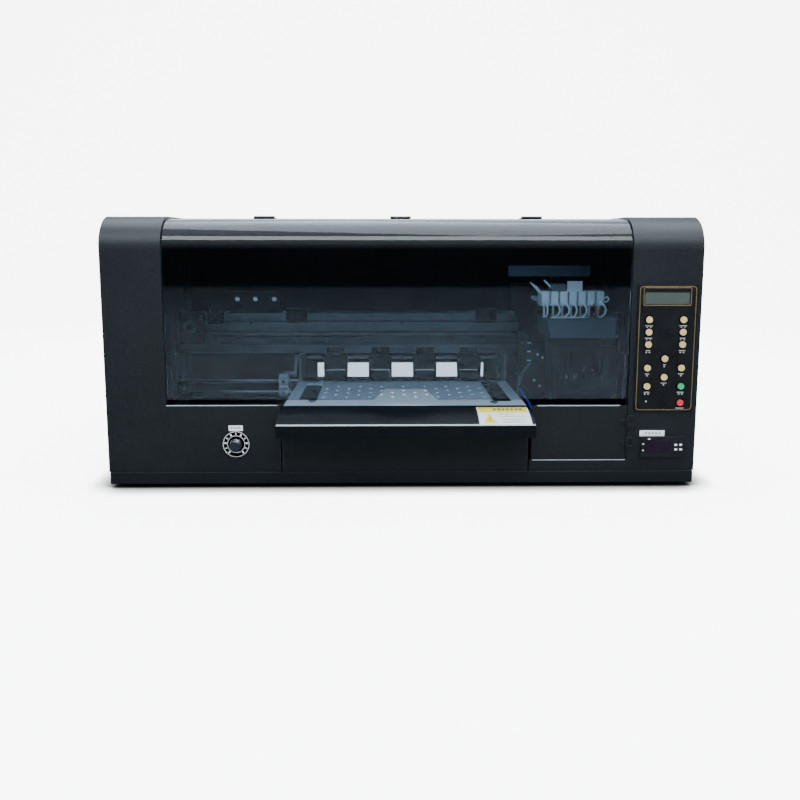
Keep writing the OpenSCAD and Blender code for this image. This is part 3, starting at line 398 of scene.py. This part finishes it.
NODE_LOOK = {
    "base_tray": TRAY, "rubber_feet": SOFT_BLACK, "left_housing": POWDER, "right_housing": POWDER,
    "rear_panel": INNER, "roof_panel": POWDER, "front_center_panel": POWDER, "frame_plates": STEEL,
    "bed_deck": INNER, "x_beam": SILVER, "linear_rail": RAIL_STEEL, "machine_screws": RAIL_STEEL,
    "timing_belt": BELT, "stepper_motors": BLACK_PLASTIC, "belt_brackets": FRAME_DARK, "side_rods": CHROME,
    "platen_plate": PLATEN_METAL, "vacuum_box": STEEL, "film_guides": BLACK_PLASTIC,
    "heater_apron": APRON_BLACK, "pinch_brackets": BLACK_PLASTIC, "cap_station": BLACK_PLASTIC,
    "slotted_partition": INNER, "control_panel": PANEL_BLACK, "temp_controller": CASE,
    "speed_dial": PANEL_BLACK, "power_supply": STEEL, "main_board": CIRCUIT, "power_inlet": BLACK_PLASTIC,
    "cover_hinges": BLACK_PLASTIC, "front_cover": ACRYLIC, "cover_hinge_leaves": BLACK_PLASTIC,
    "service_door": POWDER, "rail_block": STEEL, "carriage_frame": FRAME_DARK, "carriage_cover": HOOD_GREY,
    "damper_rack": MILK, "print_heads": BLACK_PLASTIC, "feed_roller": STEEL, "pinch_arms": BLACK_PLASTIC,
    "lift_shaft": STEEL, "pinch_rollers": SOFT_BLACK, "x_motor_pulley": SILVER, "idler_pulley": SILVER,
    "cap_tray": CREAM, "speed_knob": CHROME,
}


def dress_nodes():
    for node in BODY_OF:
        look = NODE_LOOK.get(node) or BUTTON.get(node[7:], BUTTON["gold"])
        piece = frame["nodes"][node]
        for slot in piece.material_slots:
            slot.material = look
        if not piece.material_slots:
            piece.data.materials.append(look)


dress_nodes()
add_floor()


# ---------------------------------------------------------------- tools for the added pieces

def spot(x, depth, z):
    """A point given in millimetres: across, back from the body's front face, and up."""
    return Vector((x * MM, FRONT_Y + depth * MM, z * MM))


def solid(name, body, look, verts, faces, smooth=False):
    mesh = bpy.data.meshes.new(name)
    mesh.from_pydata([tuple(v) for v in verts], [], faces)
    mesh.materials.append(look)
    bm = bmesh.new()
    bm.from_mesh(mesh)
    bmesh.ops.recalc_face_normals(bm, faces=bm.faces)
    for f in bm.faces:
        f.smooth = smooth
    bm.to_mesh(mesh)
    bm.free()
    piece = bpy.data.objects.new(name, mesh)
    bpy.context.scene.collection.objects.link(piece)
    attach(piece, body)
    return piece


def slab(name, body, look, x, depth, z, edge=0.0):
    """A box between two values on each axis, in millimetres, with rounded edges."""
    a, b = spot(x[0], depth[0], z[0]), spot(x[1], depth[1], z[1])
    corners = [(p, q, r) for p in (a.x, b.x) for q in (a.y, b.y) for r in (a.z, b.z)]
    faces = [(0, 1, 3, 2), (4, 6, 7, 5), (0, 4, 5, 1), (2, 3, 7, 6), (0, 2, 6, 4), (1, 5, 7, 3)]
    piece = solid(name, body, look, corners, faces)
    if edge:
        bevelled(piece, edge)
    return piece


def bevelled(piece, edge, segments=2):
    bm = bmesh.new()
    bm.from_mesh(piece.data)
    bmesh.ops.bevel(bm, geom=list(bm.edges), offset=edge * MM, segments=segments, affect="EDGES", profile=0.5)
    bm.to_mesh(piece.data)
    bm.free()


def rounded_outline(x, z, r, steps=5):
    points = []
    corners = [(x[1] - r, z[1] - r), (x[0] + r, z[1] - r), (x[0] + r, z[0] + r), (x[1] - r, z[0] + r)]
    for corner, (cx, cz) in enumerate(corners):
        start = 90 * corner
        for k in range(steps + 1):
            a = math.radians(start + 90 * k / steps)
            points.append((cx + r * math.cos(a), cz + r * math.sin(a)))
    return points


def border(name, body, look, x, z, r, width, depth):
    """A printed line of constant width round a rounded rectangle."""
    outer = rounded_outline(x, z, r)
    inner = rounded_outline((x[0] + width, x[1] - width), (z[0] + width, z[1] - width), max(r - width, 0.3))
    n = len(outer)
    verts = [spot(p, d, q) for d in depth for ring in (outer, inner) for p, q in ring]
    faces = []
    for i in range(n):
        j = (i + 1) % n
        faces += [(i, j, n + j, n + i), (2 * n + i, 3 * n + i, 3 * n + j, 2 * n + j),
                  (i, 2 * n + i, 2 * n + j, j), (n + i, n + j, 3 * n + j, 3 * n + i)]
    return solid(name, body, look, verts, faces)


def turned(name, body, look, centre, profile, way=(0, -1, 0), segments=28):
    """A profile of (radius, height) in millimetres, turned about a line through centre along way."""
    up = Vector(way).normalized()
    side = up.orthogonal().normalized()
    across = up.cross(side)
    verts, faces = [], []
    for r, h in profile:
        for k in range(segments):
            a = math.tau * k / segments
            out = side * math.cos(a) + across * math.sin(a)
            verts.append(centre + out * (max(r, 0.01) * MM) + up * (h * MM))
    for i in range(len(profile) - 1):
        for k in range(segments):
            m = (k + 1) % segments
            faces.append((i * segments + k, i * segments + m, (i + 1) * segments + m, (i + 1) * segments + k))
    faces.append(tuple(range(segments)))
    faces.append(tuple(range(len(verts) - 1, len(verts) - segments - 1, -1)))
    piece = solid(name, body, look, verts, faces, smooth=True)
    piece.data.set_sharp_from_angle(angle=math.radians(35))
    return piece


def cap_screw(name, body, centre, r, way=(0, -1, 0), look=None, tall=0.8):
    """A socket-head screw: a turned head with a round socket sunk in it."""
    top = tall * r
    head = [(r, 0), (r, tall * r * 0.8), (r * 0.88, top), (r * 0.55, top), (r * 0.5, tall * r * 0.4)]
    turned(name, body, look or SCREW_STEEL, centre, head, way, 20)


def curve_points(points, steps=8):
    """Catmull-Rom through the points."""
    pts = [points[0] * 2 - points[1], *points, points[-1] * 2 - points[-2]]
    out = []
    for i in range(1, len(pts) - 2):
        p0, p1, p2, p3 = pts[i - 1:i + 3]
        for k in range(steps):
            t = k / steps
            out.append(0.5 * ((2 * p1) + (p2 - p0) * t + (2 * p0 - 5 * p1 + 4 * p2 - p3) * t * t
                              + (3 * p1 - p0 - 3 * p2 + p3) * t ** 3))
    return out + [pts[-2]]


def pipe(name, body, look, points, r, segments=10, steps=8):
    """A round tube of radius r millimetres through the points."""
    path = curve_points(points, steps)
    verts, faces = [], []
    normal = (path[1] - path[0]).orthogonal().normalized()
    for i, p in enumerate(path):
        ahead = path[min(i + 1, len(path) - 1)] - path[max(i - 1, 0)]
        ahead.normalize()
        normal = (normal - ahead * normal.dot(ahead)).normalized()
        side = ahead.cross(normal)
        for k in range(segments):
            a = math.tau * k / segments
            verts.append(p + (normal * math.cos(a) + side * math.sin(a)) * (r * MM))
    for i in range(len(path) - 1):
        for k in range(segments):
            m = (k + 1) % segments
            faces.append((i * segments + k, i * segments + m, (i + 1) * segments + m, (i + 1) * segments + k))
    faces.append(tuple(range(segments)))
    faces.append(tuple(range(len(verts) - 1, len(verts) - segments - 1, -1)))
    return solid(name, body, look, verts, faces, smooth=True)


TOPS = {}


def draped(name, body, look, node, x, depth, lift, cells=(8, 14), corner=None):
    """A thin label that lies on the top of a node; corner(u, v) can cut the grid to a shape."""
    tree = TOPS.setdefault(node, surface_of(node))
    verts, index = [], {}
    for i in range(cells[0] + 1):
        for k in range(cells[1] + 1):
            u, v = i / cells[0], k / cells[1]
            px, py = (x[0] + (x[1] - x[0]) * u, depth[0] + (depth[1] - depth[0]) * v)
            if corner:
                px, py = corner(u, v)
            p = spot(px, py, 400)
            hit = tree.ray_cast(p, Vector((0, 0, -1)))
            index[i, k] = len(verts)
            verts.append(Vector((p.x, p.y, hit[0].z + lift * MM)))
    n = len(verts)
    verts += [v - Vector((0, 0, 0.12 * MM)) for v in verts]
    faces, rim = [], []
    for i in range(cells[0]):
        for k in range(cells[1]):
            q = (index[i, k], index[i + 1, k], index[i + 1, k + 1], index[i, k + 1])
            faces += [q, tuple(n + t for t in reversed(q))]
    rim += [index[i, 0] for i in range(cells[0])] + [index[cells[0], k] for k in range(cells[1])]
    rim += [index[i, cells[1]] for i in range(cells[0], 0, -1)]
    rim += [index[0, k] for k in range(cells[1], 0, -1)]
    for a, b in zip(rim, rim[1:] + rim[:1]):
        faces.append((a, b, n + b, n + a))
    return solid(name, body, look, verts, faces, smooth=False)


def surface_of(node):
    bm = bmesh.new()
    bm.from_mesh(frame["nodes"][node].data)
    tree = BVHTree.FromBMesh(bm)
    bm.free()
    return tree


# ---------------------------------------------------------------- the control side

# Half the width of the caption under each key, in millimetres
CAPTION_HALF = {
    "button_1": 6.2, "button_2": 6.0, "button_3": 3.6, "button_4": 6.2, "button_5": 4.4, "button_6": 5.6,
    "button_up": 2.2, "button_left": 3.6, "button_right": 4.6, "button_down": 4.6, "button_menu": 4.6,
    "button_green": 5.4, "button_red": 6.6,
}
ARROWS = ("button_up", "button_down", "button_left", "button_right")
INK_T = 0.02  # how far a printed line sinks into the face that it lies on


def middle(node):
    lo, hi = box(node)
    return (lo + hi) / 2


def depth_of(corners):
    """How far a node's front lies behind the body's front face, in millimetres."""
    return (corners[0].y - FRONT_Y) / MM


def caption_marks(name):
    """The marks under a key's caption bar, as {number: offset from the key's middle}."""
    if name == "button_red":
        return {}
    return {2: 0} if name in ARROWS else {0: -2.6, 2: 2.6}


def add_key(i, name, half, face):
    """The caption, ring and dimple of one push button."""
    at = middle(name)
    x, low = at.x / MM, box(name)[0].z / MM - (2.6 if name == "button_red" else 3.4)
    printed_at = (face - 0.08, face + INK_T)
    slab(f"caption_{i}_bar", "chassis", CAPTION, (x - half, x + half), printed_at, (low, low + 1.1))
    for k, off in caption_marks(name).items():
        slab(f"caption_{i}_mark_{k}", "chassis", CAPTION, (x + off - 1.1, x + off + 1.1), printed_at,
             (low - 3.4, low - 1.5))
    turned(f"button_ring_{i}", "chassis", BLACK_PLASTIC, Vector((at.x, PANEL[0].y, at.z)),
           [(7.6, 0), (7.4, 0.5), (6.0, 0.6), (5.75, 0.1)], segments=26)
    turned(f"button_dimple_{i}", BODY_OF[name], BUTTON.get(name[7:], BUTTON["gold"]),
           Vector((at.x, box(name)[0].y, at.z)), [(2.6, -0.1), (2.5, 0.16), (2.0, 0.18), (1.6, 0.06)],
           segments=20)


def add_control_panel():
    cx, cz = middle("control_panel").x / MM, middle("control_panel").z / MM
    face = depth_of(PANEL)
    border("panel_line", "chassis", GOLD, (cx - 45.6, cx + 45.6), (cz - 100.5, cz + 100.6), 6, 1.3,
           (face - 0.12, face + INK_T))
    border("display_line", "chassis", GOLD, (cx - 39.6, cx + 37.6), (cz + 69.2, cz + 98.6), 2, 1.3,
           (face - 0.16, face + INK_T))
    glass = (cx - 36.8, cx + 34.8)
    slab("display_glass", "chassis", LCD, glass, (face + 0.55, face + 0.85), (cz + 71.7, cz + 96.3))
    # A black band over the top of the display glass: a painted shadow of the pocket's upper edge.
    slab("display_painted_shadow", "chassis", PANEL_BLACK, glass, (face + 0.4, face + 0.56), (cz + 90.5, cz + 96.3))
    for i, (name, half) in enumerate(CAPTION_HALF.items()):
        add_key(i, name, half, face)
    turned("status_lamp", "chassis", CAPTION, spot(cx - 28.8, face, cz - 86),
           [(1.5, -0.05), (1.4, 0.3), (0.7, 0.6)], segments=16)


def add_temperature_unit():
    cx, cz = middle("temp_controller").x / MM, (CTRL[0].z + CTRL[1].z) / 2 / MM
    face = depth_of(CTRL)
    slab("unit_window", "chassis", WINDOW, (cx - 30.8, cx + 11.8), (face + 0.4, face + 0.75),
         (cz - 10.8, cz + 10.8), 0.15)
    border("unit_rim", "chassis", CASE, (cx - 37.2, cx + 37.2), (cz - 17, cz + 17), 1.2, 2.0,
           (face - 0.3, face + 0.05))
    for k, (x, z) in enumerate([(19.5, 3.8), (27.5, 3.8), (19.8, -3.9), (27.8, -3.9)]):
        slab(f"unit_key_mark_{k}", "chassis", WHITE, (cx + x - 2.2, cx + x + 2.2), (face - 1.14, face - 0.6),
             (cz + z - 1.6, cz + z + 1.6), 0.3)
    for k, (x, z) in enumerate([(-24.3, 13.4), (-34.4, 5), (-34.4, -5.6)]):
        slab(f"unit_lamp_{k}", "chassis", WHITE, (cx + x - 2, cx + x + 2), (face - 0.2, face + INK_T),
             (cz + z - 0.9, cz + z + 0.9), 0.2)
    slab("unit_label", "chassis", WHITE, (cx - 39.3, cx + 1.5), (-0.35, INK_T), (cz + 17.4, cz + 27.2), 0.1)
    for k in range(5):
        left = cx - 30.5 + 5.6 * k
        slab(f"unit_label_mark_{k}", "chassis", INK, (left, cx - 27.6 + 5.6 * k), (-0.42, -0.3),
             (cz + 21.2, cz + 23.8))


def add_dial_tick(k, front):
    """One radial mark of the dial: every second one is longer and broader."""
    a = math.radians(-50 + 28 * k)
    r0, r1, w = (15.6, 18.6, 0.75) if k % 2 else (15.3, 18.9, 1.25)
    along, over = Vector((math.cos(a), 0, math.sin(a))), Vector((-math.sin(a), 0, math.cos(a)))
    flat = [front + (along * r + over * w * s) * MM for r, s in ((r0, -1), (r0, 1), (r1, 1), (r1, -1))]
    verts = flat + [v + Vector((0, -0.2 * MM, 0)) for v in flat]
    solid(f"dial_tick_{k}_0", "chassis", WHITE, verts,
          [(0, 1, 2, 3), (7, 6, 5, 4), (0, 4, 5, 1), (1, 5, 6, 2), (2, 6, 7, 3), (3, 7, 4, 0)])


def add_speed_dial():
    cx, cz = middle("speed_knob").x / MM, middle("speed_knob").z / MM
    front = spot(cx, depth_of(DIAL), cz)
    edge = [(21.3, 0), (21.2, 0.25), (20.4, 0.25), (20.3, 0)]
    inner = [(14.4, 0), (14.3, 0.2), (13.6, 0.2), (13.5, 0)]
    turned("dial_edge", "chassis", IVORY, front, edge, segments=56)
    turned("dial_inner_ring", "chassis", IVORY, front, inner, segments=48)
    for k in range(11):
        add_dial_tick(k, front)
    slab("dial_label", "chassis", WHITE, (cx - 11.5, cx + 11.2), (-0.32, INK_T), (cz + 21.9, cz + 31), 0.1)
    for k in range(4):
        slab(f"dial_label_mark_{k}", "chassis", INK, (cx - 8 + 4.4 * k, cx - 5.4 + 4.4 * k), (-0.4, -0.3),
             (cz + 25.6, cz + 28))


add_control_panel()
add_temperature_unit()
add_speed_dial()


# ---------------------------------------------------------------- the apron, platen and film path

def add_apron_sticker():
    """A hot-surface sticker: a yellow band and sign, with bars in place of lettering."""
    x, depth = (119.5, 202.5), (-45.5, 11.5)

    def sign(u, v):
        return 137 + (u - 0.5) * 21 * (1 - v), -42.5 + 26 * v

    def sign_bar(u, v):
        return 136.2 + 1.6 * u, -39 + 13 * v

    on = "heater_apron"
    draped("sticker", "chassis", WHITE, on, x, depth, 0.2)
    draped("sticker_band", "chassis", YELLOW, on, (x[0] + 2, x[1] - 2), (-11.5, depth[1] - 1.5), 0.3)
    draped("sticker_sign", "chassis", YELLOW, on, x, depth, 0.3, (6, 8), sign)
    bars = [(152, 178, -17.5), (152, 195, -24.5), (156, 192, -33), (156, 190, -39.5)]
    for k, (x0, x1, y) in enumerate(bars):
        draped(f"sticker_line_{k}", "chassis", CAPTION, on, (x0, x1), (y - 1, y + 1), 0.3, (6, 2))
    for k in range(7):
        left = 146 + 7 * k
        draped(f"sticker_band_mark_{k}", "chassis", INK, on, (left, 150.4 + 7 * k), (-4, 4), 0.4, (2, 3))
    draped("sticker_sign_bar", "chassis", INK, on, x, depth, 0.4, (2, 4), sign_bar)


def add_apron_bend():
    """A light strip along the apron's front bend: a painted highlight."""
    across = (APRON[0].x / MM + 1, APRON[1].x / MM - 1)
    draped("apron_bend_highlight", "chassis", EDGE_HIGHLIGHT, "heater_apron", across, (-47.6, -44.2), 0.15, (40, 4))


def add_film_guides():
    for k, (x, y) in enumerate(((-176.5, 58), (130, 44))):
        slab(f"guide_clip_front_{k}", "chassis", STEEL, (x + 18, x + 30), (y, y + 10), (128.9, 131.2), 0.5)
        slab(f"guide_tab_front_{k}", "chassis", STEEL, (x + 21, x + 27), (y - 7, y + 2), (128.9, 129.8), 0.3)
    slab("guide_clip_back", "chassis", MILK, (-176, -153), (205, 217), (129.7, 134), 0.8)
    slab("guide_clip_back_ear", "chassis", MILK, (-152.8, -146), (203, 221), (128.9, 137), 0.8)
    slab("guide_clip_right", "chassis", STEEL, (151, 168), (206, 214), (129.7, 132.5), 0.6)


def add_rod_clamps():
    """A split clamp at the inner end of each side rod and a seat at its outer end."""
    clamp = [(4.05, 0), (9.5, 0), (10, 1), (10, 17), (9.5, 18), (4.05, 18)]
    seat = [(4.05, 0), (9, 0), (9, 8), (7.5, 9), (4.05, 9)]
    for k, z in enumerate((129.5, 107.5)):
        c = spot(-226, 258, z)
        turned(f"rod_clamp_{k}", "chassis", PLATEN_METAL, c + Vector((-9 * MM, 0, 0)), clamp, (1, 0, 0), 32)
        slab(f"rod_clamp_ear_{k}", "chassis", PLATEN_METAL, (-234, -218), (246, 262), (z + 8, z + 13), 0.8)
        cap_screw(f"rod_clamp_screw_{k}", "chassis", spot(-226, 248.2, z), 3.2)
        turned(f"rod_seat_{k}", "chassis", BLACK_PLASTIC, spot(-432, 258, z), seat, (1, 0, 0), 28)


def add_hole_rims():
    """A chamfered rim round each suction hole, near white and glowing as a painted highlight, all in one
    mesh.
    """
    rows, in_row, pitch, row_pitch = 6, 8, 40, 20
    sides, verts, faces = 12, [], []
    for row in range(rows):
        for i in range(in_row - row % 2):
            x = 4 + (i - (in_row - 1) / 2 + row % 2 / 2) * pitch
            centre = spot(x, 97 + row_pitch * row, PLATEN[1].z / MM)
            start = len(verts)
            for r, h in ((2.8, -0.05), (2.7, 0.5), (1.7, 0.5), (1.6, -0.05)):
                for k in range(sides):
                    a = math.tau * k / sides
                    verts.append(centre + Vector((r * math.cos(a), r * math.sin(a), h)) * MM)
            for ring in range(4):
                for k in range(sides):
                    m, above = (k + 1) % sides, (ring + 1) % 4
                    quad = (ring * sides + k, ring * sides + m, above * sides + m, above * sides + k)
                    faces.append(tuple(start + v for v in quad))
    solid("hole_rims", "chassis", RIM_HIGHLIGHT, verts, faces)


add_hole_rims()
add_apron_bend()
add_apron_sticker()
add_film_guides()
add_rod_clamps()


# ---------------------------------------------------------------- the beam and its fittings

def add_beam_details():
    face, top = depth_of(BEAM), BEAM[1].z / MM
    for k, x in enumerate((-313.9, -279.5, -243.1)):
        cap_screw(f"bracket_bolt_{k}", "chassis", spot(x, face, 287.5), 5, look=CHROME)
    for k, across in enumerate(((-221, -180), (146, 188))):
        slab(f"beam_clip_{k}", "chassis", BLACK_PLASTIC, across, (face - 1.2, face + 6), (top - 19, top + 9),
             0.6)
    slab("beam_clip_lip", "chassis", SILVER, (-330, -236), (face - 1.0, face + 0.3), (183, 193.5), 0.4)
    cap_screw("beam_lip_screw", "chassis", spot(-288, face - 1, 188), 2.6)
    for k, (x, z) in enumerate(((2.7, 241), (2.7, 199.4), (-290, 241), (-290, 199.4))):
        turned(f"beam_mark_{k}", "chassis", INNER, spot(x, face, z), [(2.3, -0.05), (2.2, 0.15), (1.5, 0.2)],
               segments=18)
    for k, across in enumerate(((-330, -222), (-179, 145), (189, 225))):
        slab(f"beam_strip_{k}", "chassis", SILVER, across, (face - 0.5, face + 0.2), (top - 18, top - 1.5),
             0.2)
    for s in (-1, 1):
        slab(f"vent_filter_{s + 1}", "chassis", INNER, (s * 300 - 110, s * 300 + 110), (498.6, 499.9),
             (276, 368))
    rail = depth_of(RAIL)
    slab("rail_edge_top", "chassis", SILVER, (RAIL[0].x / MM, RAIL[1].x / MM), (rail - 0.15, rail + 3),
         (214.6, 215.6), 0.2)


add_beam_details()


# ---------------------------------------------------------------- the carriage

CARRIAGE_X = 305  # the carriage's middle when it is parked


def along_tube(front, points):
    """Points as (across from the carriage's middle, back from the rack's front, up)."""
    return [spot(CARRIAGE_X + x, front + y, z) for x, y, z in points]


def add_ink_hoses(front):
    """Seven short hoses that hang from the dampers, each with its elbow."""
    pitch = 97 / 6
    for i, bend in enumerate((7, 6.5, 5.5, 4.5, 7.5, 7, 1.5)):
        x = 46 - i * pitch
        hang = [(x, -0.5, 289.5), (x + bend * 0.5, -6, 287), (x + bend, -8, 279), (x + bend * 0.7, -6, 270),
                (x - 1.5, 1, 264.6)]
        pipe(f"ink_hose_{i}", "carriage", RED if i == 1 else TUBE, along_tube(front, hang), 1.7)
        turned(f"ink_elbow_{i}", "carriage", MILK, along_tube(front, [(x, 0.5, 289.5)])[0],
               [(4.2, 0), (4.2, 3.5), (3, 5), (1.8, 5.4)], segments=20)


def add_rack_details(front):
    """The ledge, label and tubes round the damper rack."""
    cx = CARRIAGE_X
    slab("rack_ledge", "carriage", CABLE, (cx - 54, cx + 54), (front - 4, front + 6), (262.9, 264.2), 0.4)
    drain = [(-44, -5, 265), (-20, -6, 264.9), (8, -5, 265.1), (22, -2, 265)]
    pipe("rack_drain", "carriage", TUBE, along_tube(front, drain), 1.2)
    slab("rack_label", "carriage", WHITE, (cx - 13.3, cx + 13.7), (front + 4.5, front + 5.5),
         (309.5, 328.4), 0.1)
    slab("rack_foam", "carriage", CABLE, (cx - 40, cx - 13.5), (front + 10, front + 30), (309.6, 323), 1.5)
    hook = [(51, 3, 297), (57, 1, 301), (59, 0, 295), (53, 2, 291)]
    pipe("rack_hook", "carriage", TUBE, along_tube(front, hook), 1.3)
    for k in range(3):
        z = 322 - 3 * k
        feed = [(-74 + 5 * k, 30, z + 3), (-62 + 4 * k, 12, z - 12), (-50 + 3 * k, 4, z - 22),
                (-52 + 2 * k, 1, z - 28)]
        pipe(f"feed_tube_{k}", "carriage", TUBE, along_tube(front, feed), 1.2)
    back = [(-50, 26, 329), (-44, 20, 322), (-36, 14, 313), (-32, 10, 308)]
    pipe("feed_tube_back", "carriage", TUBE, along_tube(front, back), 1.7)


def add_carriage_ear():
    """The bolts, connector and shelf on the ear at the carriage's upper left."""
    ear = 239
    for k, x in enumerate((232.4, 244)):
        cap_screw(f"carriage_bolt_{k}", "carriage", spot(x, ear, 283.1), 3.4, look=CHROME)
    for i in range(3):
        for j in range(3):
            turned(f"carriage_dot_{i}{j}", "carriage", BLACK_PLASTIC, spot(227 + 6 * i, ear, 296 + 6 * j),
                   [(1.7, 0), (1.7, 0.3), (1.1, 0.35)], segments=12)
    slab("carriage_shelf", "carriage", FRAME_DARK, (212, 249), (ear - 1.5, ear + 0.2), (290, 291.6), 0.3)


add_ink_hoses(depth_of(RACK))
add_rack_details(depth_of(RACK))
add_carriage_ear()


# ---------------------------------------------------------------- the bay beside the platen

def add_bay_details():
    wing = 116
    for k, (x, z) in enumerate(((238.6, 201), (247.1, 195.2), (233.4, 154.7), (243.4, 144.9), (250.5, 134))):
        cap_screw(f"wing_screw_{k}", "chassis", spot(x, wing, z), 2.1)
    for k, z in enumerate((221.6, 206.4, 190.5)):
        slab(f"wing_bar_{k}", "chassis", CYAN, (219.5, 226.5), (wing - 3, wing + 0.3), (z - 1.1, z + 1.1),
             0.3)
    cable = [(225.6, -3, 187), (219, -6, 180), (209.5, -6, 165), (207, 3, 146), (207, 14, 120)]
    tube = [(207.6, -4, 141), (213, -12, 132), (221, -22, 119), (227, -30, 104)]
    pipe("wing_cable", "chassis", CABLE, [spot(x, wing + y, z) for x, y, z in cable], 3)
    pipe("wing_tube", "chassis", BLUE, [spot(x, wing + y, z) for x, y, z in tube], 2.1)


add_bay_details()


# ---------------------------------------------------------------- painted highlights along edges

def add_edge_highlights():
    # Thin light strips on the sill, the door top and the door ledge: painted highlights where these edges
    # catch the light.
    slab("sill_edge_highlight", "chassis", EDGE_HIGHLIGHT, (OPEN_L / MM - 0.2, -203), (-0.35, 1.6), (134, 135.3), 0.5)
    slab("door_top_highlight", "door", EDGE_HIGHLIGHT, (218, 352), (-0.3, 1.5), (132.6, 133.9), 0.5)
    slab("door_ledge_highlight", "chassis", EDGE_HIGHLIGHT, (211, 364), (-0.3, 1.4), (42.2, 43.3), 0.4)


add_edge_highlights()
